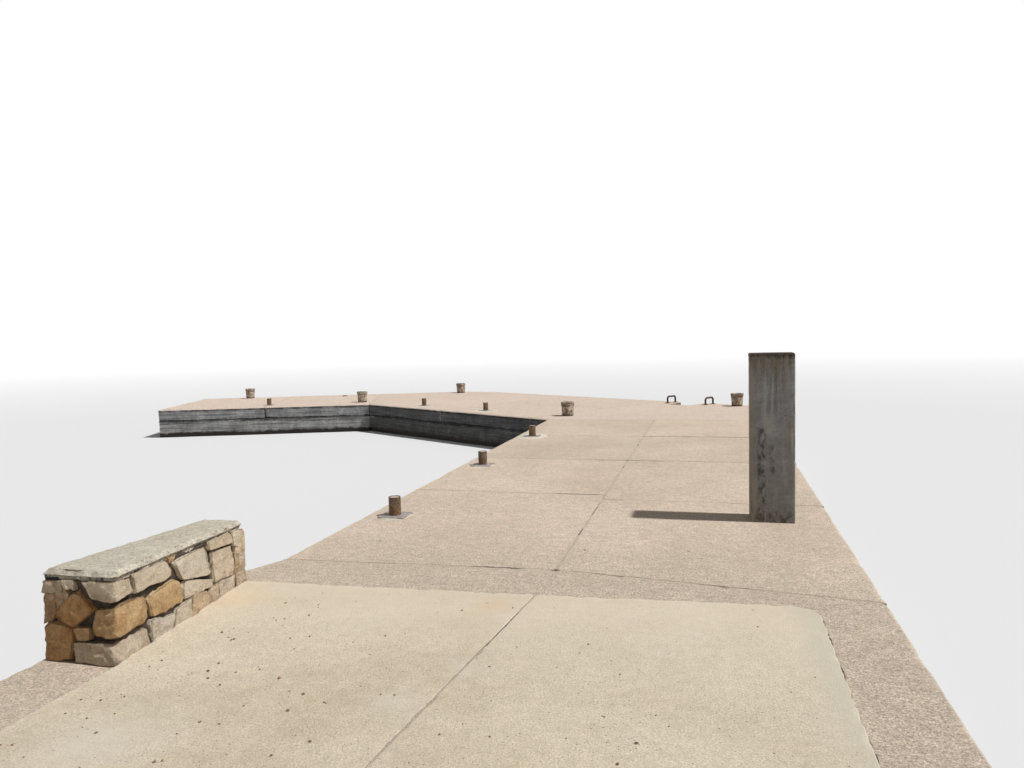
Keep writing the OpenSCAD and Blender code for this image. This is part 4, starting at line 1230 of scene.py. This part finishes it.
parapet = {
    "high": 0.415, "fall": 0.045, "coping": 0.055,   # heights above the deck; its top falls
    "nearInner": -1.79, "farInner": -1.93,           # x of the path's face at its two ends
    "joint": 0.008, "coreIn": 0.012, "cut": 0.025, "depth": 0.15, "frontDepth": 0.10, "backDepth": 0.11,
    "measured": 1.275,                               # length on which the path's distances are given
    # stones at the near corner: warmth, paleness, then (distance, height) of four corners on the
    # path's face and (x, height) of four corners on the near face: low left, high left, high right,
    # low right
    "corner": [
        (0.3, 0.75, (0, .318), (0, .43), (.135, .418), (.155, .325),
         (-1.95, .318), (-2.03, .42), (-1.79, .43), (-1.79, .318)),
        (0.85, 0.55, (0, .133), (0, .305), (.245, .285), (.262, .138),
         (-1.955, .133), (-1.915, .30), (-1.79, .305), (-1.79, .133)),
        (0.25, 0.65, (0, 0), (0, .122), (.235, .118), (.27, 0),
         (-2.085, 0), (-2.085, .108), (-1.79, .122), (-1.79, 0))],
    # the other stones of the near face and of the face beside the path
    "front": [
        (0.95, 0.25, (-2.055, .185), (-2.175, .235), (-2.03, .36), (-1.93, .275)),
        (0.95, 0.35, (-2.23, 0), (-2.23, .19), (-2.06, .182), (-2.095, 0)),
        (0.8, 0.4, (-2.045, .118), (-2.05, .172), (-1.965, .18), (-1.965, .128)),
        (0.6, 0.3, (-2.23, .192), (-2.23, .343), (-2.155, .343), (-2.17, .24)),
        (0.5, 0.4, (-2.16, .262), (-2.155, .35), (-2.10, .378), (-2.075, .34)),
        (0.3, 0.9, (-2.095, .385), (-2.105, .415), (-2.045, .415), (-2.045, .372)),
        (0.4, 0.5, (-2.23, .348), (-2.23, .41), (-2.11, .412), (-2.11, .36))],
    "path": [
        (0.25, 0.95, (.165, .315), (.145, .425), (.44, .41), (.49, .305)),
        (0.85, 0.60, (.295, .142), (.262, .268), (.545, .285), (.57, .13)),
        (0.15, 1.00, (.56, .262), (.505, .385), (.85, .378), (.885, .168)),
        (0.20, 0.95, (.585, .14), (.58, .25), (.885, .158), (.87, .118)),
        (0.70, 0.30, (.46, .385), (.452, .415), (.51, .41), (.515, .392)),
        (0.35, 0.85, (.865, .34), (.86, .395), (1.115, .385), (1.14, .315)),
        (0.20, 1.00, (1.155, .275), (1.13, .385), (1.275, .372), (1.275, .255)),
        (0.30, 0.85, (.905, .135), (.875, .33), (1.115, .305), (1.145, .115)),
        (0.50, 0.60, (1.165, .10), (1.15, .262), (1.275, .245), (1.275, .10)),
        (0.05, 0.75, (.285, 0), (.28, .13), (.50, .112), (.455, 0)),
        (0.20, 0.70, (.468, 0), (.512, .11), (.66, .125), (.64, 0)),
        (0.15, 0.75, (.965, 0), (.95, .125), (1.145, .105), (1.13, 0)),
        (0.50, 0.60, (.652, 0), (.672, .155), (.86, .108), (.80, 0)),
        (0.30, 0.60, (.812, 0), (.872, .105), (.94, .12), (.952, 0)),
        (0.30, 0.60, (1.142, 0), (1.155, .09), (1.275, .09), (1.275, 0))]}


def faceStone(face, deep, out, warm, pale, seed, grid=seenGrid):
    # a stone behind one face: its four face corners drawn out by the joint, and again deeper in
    away = face - face.mean(0)
    face = face + away / np.linalg.norm(away, axis=1)[:, None] * parapet["joint"]
    lowLeft, highLeft, highRight, lowRight = face - out * 0.002
    front = np.array([[lowLeft, highLeft], [lowRight, highRight]])
    return stone(np.stack([front - out * deep, front], 2), warm, pale, seed, grid)


def swollen(points, factor):
    middle = points.reshape(-1, 3).mean(0)
    return middle + (points - middle) * factor


def drawnOut(p):
    # the wall's four corners drawn out to where its faces meet, each cut back a little
    (x0, y0, _), (_, y1, _) = wallLow, wallHigh
    near, far, cut = p["nearInner"], p["farInner"], p["cut"]
    return np.array([(x0, y1), (x0, y0), (near - cut, y0), (near - 0.002, y0 + cut), (far, y1 - cut),
                     (far - cut, y1)])


def leaned(points, p=parapet):
    # the wall's top falls evenly from its near end to its far one
    t = np.clip((points[..., 1] - wallLow[1]) / (wallHigh[1] - wallLow[1]), 0, 1)
    share = np.clip((points[..., 2] - levels["deck"]) / p["high"], 0, 1)
    points[..., 2] -= p["fall"] * t * share
    return points


def copingShape(points, p=parapet):
    # the coping follows the fall, and its lower edge hangs unevenly over the stones
    lower = np.clip((levels["deck"] + p["high"] + 0.025 - points[..., 2]) / 0.03, 0, 1)
    points[..., 2] += lower * (0.026 * rubble(points * np.array([1, 1, 0]), 0.05, 44, 4) + 0.002)
    return leaned(points)


def addParapet(p):
    x, y, up = np.eye(3)
    deck = levels["deck"]
    top = deck + p["high"]
    nearInner = np.array([p["nearInner"], wallLow[1], deck])
    farInner = np.array([p["farInner"], wallHigh[1], deck])
    length = np.linalg.norm(farInner - nearInner)
    way = (farInner - nearInner) / length
    out = np.array([way[1], -way[0], 0.0])

    def onPath(corners):
        return np.array([nearInner + way * u * length / p["measured"] + up * z for u, z in corners])

    def onFront(corners):
        return np.array([(across, wallLow[1], deck + z) for across, z in corners])

    parts = []
    for number, (warm, pale, *quad) in enumerate(p["path"]):
        parts.append(faceStone(onPath(quad), p["depth"], out, warm, pale, 100 + 13 * number))
    for number, (warm, pale, *quad) in enumerate(p["front"]):
        face = np.clip(swollen(onFront(quad), 1.07), (*wallLow[:2], deck), (p["nearInner"], wallHigh[1], top))
        parts.append(faceStone(face, p["frontDepth"], -y, warm, pale, 400 + 13 * number))
    for number, (warm, pale, *quad) in enumerate(p["corner"]):
        path, front = onPath(quad[:4]), onFront(quad[4:])
        run = (path[3] - path[0]) * 0.8
        corners = np.array([[[front[0], front[0] + run], [front[1], front[1] + run]],
                            [[path[0], path[3]], [path[1], path[2]]]])
        parts.append(stone(swollen(corners, 1.01), warm, pale, 300 + number, seenGrid, 10.0, atCorner=True))

    rng = np.random.default_rng(5)
    back = []
    hidden = [(np.array([wallLow[0], wallHigh[1], deck]), -y, -x, wallHigh[1] - wallLow[1] - 0.10),
              (farInner, -x, y, farInner[0] - wallLow[0])]
    for number, (origin, along, normal, run) in enumerate(hidden):
        for k, (u0, u1, z0, z1) in enumerate(courses(run, p["high"], 17 + number)):
            flat = np.array([(u0, z0, number), (u0, z1, number), (u1, z1, number), (u1, z0, number)], float)
            moved = flat[:, :2] + np.stack([lumps(flat, 0.09, 51), lumps(flat, 0.09, 52)], 1) * 0.014
            moved = np.clip(moved, 0.0, (run, p["high"]))
            face = leaned(origin + along * moved[:, :1] + up * moved[:, 1:])
            back.append(faceStone(face, p["backDepth"], normal, rng.uniform(0.1, 0.9),
                                  rng.uniform(0.2, 1.0), 500 + 100 * number + k, plainGrid))

    outline = sectionOutline("parapet_rubble", 0.8)
    core = outlineMoved(outline, np.full(len(outline), p["coreIn"]))
    addPiece("parapet_stones", parts, "limestone", ["parapet_rubble"])
    addPiece("parapet_back_stones", back, "limestone")
    addBlock("core", "parapet_core", [(core, deck, top + 0.01)], "wall_core", slot="mortar", lean=leaned)
    addBlock("coping", "parapet_coping_cast", [(drawnOut(p), top - 0.006, top + p["coping"])], "mortar",
             ["parapet_coping"], lean=copingShape)


addParapet(parapet)
print("parapet built")


# Loose chippings on the topping, most of them near the parapet and the root's end

chippings = {"tries": 1500, "small": 0.0024, "large": 0.0090, "flat": 0.6, "sink": 0.0010}


def rolled(u, v, angle):
    return u * np.cos(angle) - v * np.sin(angle), u * np.sin(angle) + v * np.cos(angle)


def addChippings(c):
    # each one is an eight-sided lump: six points on three axes, turned and stretched at random
    rng = np.random.default_rng(23)
    spots = np.stack([rng.uniform(-1.7, 1.5, c["tries"]), rng.uniform(-3.1, -0.65, c["tries"])], 1)
    crowd = 0.04 + 0.50 * np.exp(-(spots[:, 0] + 1.7) / 0.8) + 0.25 * np.clip(-1.6 - spots[:, 1], 0, 1)
    paved = np.array([(-1.72, -3.14), (1.55, -3.14), (1.45, -0.7), (-1.6, -0.75)])
    spots = flatRun(spots[(rng.random(c["tries"]) < crowd) & inside(spots, paved)])
    count = len(spots)
    size = c["small"] + (c["large"] - c["small"]) * rng.random(count) ** 3.5
    axes = np.concatenate([np.eye(3), -np.eye(3)])
    shape = axes * rng.uniform(0.7, 1.25, (count, 6, 1)) * size[:, None, None]
    spin = rng.uniform(0, 2 * math.pi, count)[:, None]
    tip = rng.uniform(0, 1.2, count)[:, None]
    y, z = rolled(shape[..., 1], shape[..., 2], tip)
    x, y = rolled(shape[..., 0], y, spin)
    points = np.stack([x, y, z * c["flat"]], -1)
    floor = levels["topping"] + 0.002 * rubble(spots, 0.8, 11) - c["sink"]
    spots[:, 2] = floor - points[..., 2].min(1)
    points = points + spots[:, None]
    faces = np.array([(0, 1, 2), (1, 3, 2), (3, 4, 2), (4, 0, 2), (1, 0, 5), (3, 1, 5), (4, 3, 5), (0, 4, 5)])
    loops = (faces + 6 * np.arange(count)[:, None, None]).ravel()
    warm, pale, number = rng.uniform(0.2, 0.9, count), rng.uniform(0.0, 0.5, count), rng.random(count)
    made = surface(points.reshape(-1, 3), loops, np.full(8 * count, 3), warm=np.repeat(warm, 6),
                   pale=np.repeat(pale, 6), number=np.repeat(number, 6), bed=0.6)
    addPiece("loose_chippings", [made], "limestone", smoothAngle=20)
    return count


print("chippings:", addChippings(chippings))


# Bollards

bollard = {
    "foot": 0.111, "belly": 0.124, "lip": 0.135, "height": 0.275, "lipHeight": 0.058,
    "rim": 0.028, "dish": 0.014, "rough": 0.0035, "chip": 0.018, "segments": 72}


def addBollards(b):
    h, r = b["height"], b["lip"]
    inner, under = r - b["rim"], h - b["lipHeight"]
    profile = [(0.015, h - b["dish"]), (inner - 0.016, h - b["dish"]), (inner - 0.005, h - 0.003),
               (inner + 0.004, h), (r - 0.007, h), (r - 0.002, h - 0.003), (r, h - 0.009),
               (r - 0.001, h - 0.024), (r - 0.005, h - 0.029), (r - 0.001, h - 0.034),
               (r, under + 0.006), (r - 0.003, under - 0.001), (b["belly"], under - 0.008),
               (b["foot"] + 0.002, 0.012), (b["foot"], 0.0)]
    for number, name in enumerate(n for n in nodes if n.startswith("bollard")):
        low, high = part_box(name)
        centre = ((low[0] + high[0]) / 2, (low[1] + high[1]) / 2, low[2])
        made = turned(profile, 0.009, centre, b["segments"], b["rough"], b["chip"], seed=40 + number)
        addPiece(name + "_cast", [made], "bollard_concrete", [name])


addBollards(bollard)


# Mooring posts: a pipe, its fill, its plate and the mortar under it

mooring = {
    "pipe": 0.054, "wall": 0.006, "height": 0.175, "plate": 0.25, "plateRound": 0.02,
    "plateThick": 0.012, "turns": [0, 0, 0, 58, 58, 109],
    "patch": [0.145, 0.15, 0.26, 0.25, 0.23, 0.23], "patchWide": 0.88, "patchLong": 1.35,
    # from the middle of the mortar outwards: share of its reach, and height
    "patchRings": [(0.35, 0.006), (0.60, 0.0065), (0.74, 0.006), (0.86, 0.005), (0.95, 0.003), (1.0, 0.0)]}


def turnedAbout(points, centre, degrees):
    a = math.radians(degrees)
    spin = np.array([[math.cos(a), math.sin(a)], [-math.sin(a), math.cos(a)]])
    return points @ spin + np.asarray(centre)[:2]


def mortarPatch(m, i, centre, spin):
    # an oval pad with a ragged edge, in rings from its middle outwards
    circle = unitCircle(56)
    ragged = 1 + 0.22 * rubble(flatRun(circle) + (0, 0, i), 0.7, 200 + i)[:, None]
    rows = []
    for share, up in m["patchRings"]:
        reach = m["patch"][i] * (ragged if share > 0.5 else 1.0) * share
        oval = circle * reach * (m["patchWide"], m["patchLong"])
        rows.append(flatRun(turnedAbout(oval, (0, 0), spin)) + (0, 0, up))
    rows = np.array(rows)
    rows[1:-1, :, 2] += 0.002 * rubble(rows[1:-1], 0.03, 210 + i)
    stack = ringStack(rows, (0, 0, 0.006))
    stack["points"] = stack["points"] + centre
    return stack


def addMoorings(m):
    r, h, thick, deck = m["pipe"], m["height"], m["plateThick"], levels["deck"]
    bore = r - m["wall"]
    pipe = [(bore, h - 0.012), (bore, h - 0.001), (r - 0.001, h), (r, h - 0.002), (r, thick)]
    fill = [(0.006, h - 0.004), (bore - 0.006, h - 0.005), (bore + 0.001, h - 0.009), (bore + 0.001, thick)]
    arc = np.radians(np.arange(0, 91, 15))
    quarter = np.column_stack([np.cos(arc), np.sin(arc)]) * m["plateRound"] + m["plate"] / 2 - m["plateRound"]
    square = np.concatenate([turnedAbout(quarter, (0, 0), 90 * k) for k in range(4)])
    fills, plates, patches = [], [], []
    for i, spin in enumerate(m["turns"]):
        name = "mooring_pipe_%d" % (i + 1)
        low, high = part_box(name)
        centre = np.array([(low[0] + high[0]) / 2, (low[1] + high[1]) / 2, deck])
        made = turned(pipe, 0.012, centre, segments=48, rough=0.0012, chip=0.004, seed=60 + i)
        addPiece(name + "_rusted", [made], "rusty_steel", [name])
        fills.append(turned(fill, 0.010, centre, segments=40, rough=0.003, seed=80 + i))
        corners = turnedAbout(square, centre, spin)
        plates.append(standingBlock("plate", corners, deck, deck + thick, 90 + i))
        patches.append(mortarPatch(m, i, centre, spin))
    addPiece("mooring_fills_cast", fills, "fill_concrete", ["mooring_fills"], "bollard_concrete")
    addPiece("mooring_plates_rusted", plates, "plate_steel", ["mooring_plates"], "rusty_steel")
    addPiece("mooring_patches", patches, "patch_mortar", slot="mortar")


addMoorings(mooring)


# Hoops across the head's outer edge, one on each side of the recess

hoop = {
    "turn": 58, "corner": (2.0, 12.1267),              # where the arm's and the head's outer edges meet
    "places": [(1.07, 0.23), (2.015, 0.30)],           # how far along the head and in from its edge
    "reach": 0.15, "high": 0.089, "bend": 0.06, "bar": 0.021, "foot": 0.045, "footThick": 0.008,
    "collar": [(0.012, 0.022), (0.023, 0.021), (0.029, 0.013), (0.034, 0.0075)]}


def addHoops(h):
    turn, deck = math.radians(h["turn"]), levels["deck"]
    along = np.array([-math.sin(turn), math.cos(turn)])
    out = np.array([math.cos(turn), math.sin(turn)])
    bend = np.radians(np.arange(11.25, 91, 11.25))
    half = [(h["reach"], 0.0), (h["reach"], h["high"])]
    half += [(h["reach"] - h["bend"] * (1 - math.cos(a)), h["high"] + h["bend"] * math.sin(a)) for a in bend]
    shape = np.array(half + [(-across, z) for across, z in half[::-1]])
    square = np.array([[1, 1], [-1, 1], [-1, -1], [1, -1.0]]) * h["foot"]
    hoops, feet = [], []
    for number, (s, t) in enumerate(h["places"]):
        spot = h["corner"] + s * along - t * out
        line = np.column_stack([spot + shape[:, :1] * out, deck + shape[:, 1]])
        hoops.append(bentBar(resampled(line, 0.012), h["bar"], np.append(along, 0.0), sides=20,
                             rough=0.0014, seed=7 + number))
        for side in (-1, 1):
            foot = np.append(spot + side * h["reach"] * out, deck)
            hoops.append(turned(h["collar"], 0.006, foot, segments=28, rough=0.0016, seed=12 + side))
            corners = turnedAbout(square, foot, h["turn"])
            feet.append(standingBlock("hoop_foot", corners, deck, deck + h["footThick"], 120 + side))
    addPiece("boarding_hoops_rusted", hoops + feet, "hoop_steel", ["boarding_hoops"], "rusty_steel")


addHoops(hoop)


# The ring on the deck: a ring, the staple that holds it, and a round base

ring = {"radius": 0.057, "bar": 0.008, "high": 0.016, "bow": (0.012, 0.010), "bowBar": 0.005,
        "base": [(0.006, 0.008), (0.037, 0.008), (0.040, 0.005), (0.040, 0.0)]}


def addRing(r):
    low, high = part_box("deck_ring")
    spot = np.array([low[0] + r["base"][-1][0], (low[1] + high[1]) / 2, levels["deck"]])
    circle = (flatRun(unitCircle(64)) + (1, 0, 0)) * r["radius"] + (0, 0, r["high"])
    half = np.radians(np.arange(0, 181, 15))
    wide, tall = r["bow"]
    bow = np.column_stack([0 * half, wide * np.cos(half), r["high"] + tall * np.sin(half)])
    bow = np.concatenate([[bow[0] - (0, 0, wide)], bow, [bow[-1] - (0, 0, wide)]])
    parts = [bentBar(spot + circle, r["bar"], (0, 0, 1.0), sides=16, rough=0.0008, seed=3, closed=True),
             bentBar(resampled(spot + bow, 0.004), r["bowBar"], (1.0, 0, 0), sides=12, rough=0.0004, seed=4),
             turned(r["base"], 0.006, spot, segments=40, rough=0.001)]
    addPiece("deck_ring_rusted", parts, "rusty_steel", ["deck_ring"])


addRing(ring)
print("fittings done")


# Stage: a pale floor in white surroundings, a sun from the right, and the photograph's camera

stage = {
    "floorReach": 400.0, "floorBelow": 0.004, "middle": (-4.0, 7.0, 0.0), "fade": (16.0, 60.0),
    "ambient": 0.17, "sun": 3.20, "sunAngle": 2, "sunTilt": 90 - 54.5,    # angles in degrees
    # the camera: focal length in pixels of a picture 1024 wide, place in metres, angles in degrees
    "focal": 769.0, "width": 1024, "eye": (1.03, -4.97, levels["deck"] + 1.573),
    "turn": 14.596, "down": 3.459, "roll": 1.312}


def addStage(s):
    reach, z = s["floorReach"], -s["floorBelow"]
    mesh = bpy.data.meshes.new("floor")
    mesh.from_pydata([(x * reach, y * reach, z) for x, y in ((-1, -1), (1, -1), (1, 1), (-1, 1))], [],
                     [(0, 1, 2, 3)])
    w = Material("floor")
    for socket, value in (("Base Color", (0.80, 0.80, 0.80, 1)), ("Roughness", 0.9),
                          ("Specular IOR Level", 0.1)):
        w.put(value, w.shader.inputs[socket])
    away = w.vector("LENGTH", w.vector("SUBTRACT", w.place, s["middle"]), out=1)
    glow = w.node("Emission", ((1, 1, 1, 1), 1.0)).outputs[0]
    both = w.node("MixShader", (w.span(away, *s["fade"]), w.shader.outputs[0], glow)).outputs[0]
    w.put(both, w.tree.nodes["Material Output"].inputs[0])
    mesh.materials.append(w.made)
    placed("floor", mesh)


def addLight(s):
    # the surroundings look white to the camera and in mirrors, but light the jetty only a little
    world = bpy.data.worlds.new("studio")
    bpy.context.scene.world = world
    world.use_nodes = True
    w = Wiring(world.node_tree)
    rays = w.node("LightPath").outputs
    seen = rays["Is Camera Ray"]
    for kind in ("Is Glossy Ray", "Is Transmission Ray"):
        seen = w.calc("MAXIMUM", seen, rays[kind])
    back = world.node_tree.nodes["Background"]
    w.put((1, 1, 1, 1), back.inputs[0])
    w.put(w.span(seen, 0.0, 1.0, s["ambient"], 1.0), back.inputs[1])
    sun = bpy.data.lights.new("sun", "SUN")
    sun.energy = s["sun"]
    sun.angle = math.radians(s["sunAngle"])
    placed("sun", sun).rotation_euler = (0, math.radians(s["sunTilt"]), 0)      # from +X


def addCamera(s):
    turn, down, roll = [math.radians(s[key]) for key in ("turn", "down", "roll")]
    ahead = np.array([-math.sin(turn), math.cos(turn), 0])
    right = np.array([math.cos(turn), math.sin(turn), 0])
    look = ahead * math.cos(down) - np.array([0, 0, math.sin(down)])
    up = np.cross(right, look)
    camRight = math.cos(roll) * right - math.sin(roll) * up
    camUp = math.sin(roll) * right + math.cos(roll) * up
    camera = bpy.data.cameras.new("camera")
    camera.sensor_width = 36.0
    camera.lens = s["focal"] / s["width"] * camera.sensor_width
    camera.clip_start, camera.clip_end = 0.05, 2000.0
    holder = placed("camera", camera)
    rows = [[camRight[k], camUp[k], -look[k], s["eye"][k]] for k in range(3)]
    holder.matrix_world = Matrix(rows + [[0, 0, 0, 1]])
    bpy.context.scene.camera = holder


addStage(stage)
addLight(stage)
addCamera(stage)
bpy.context.scene.view_settings.view_transform = "Standard"
print("stage, light and camera set")
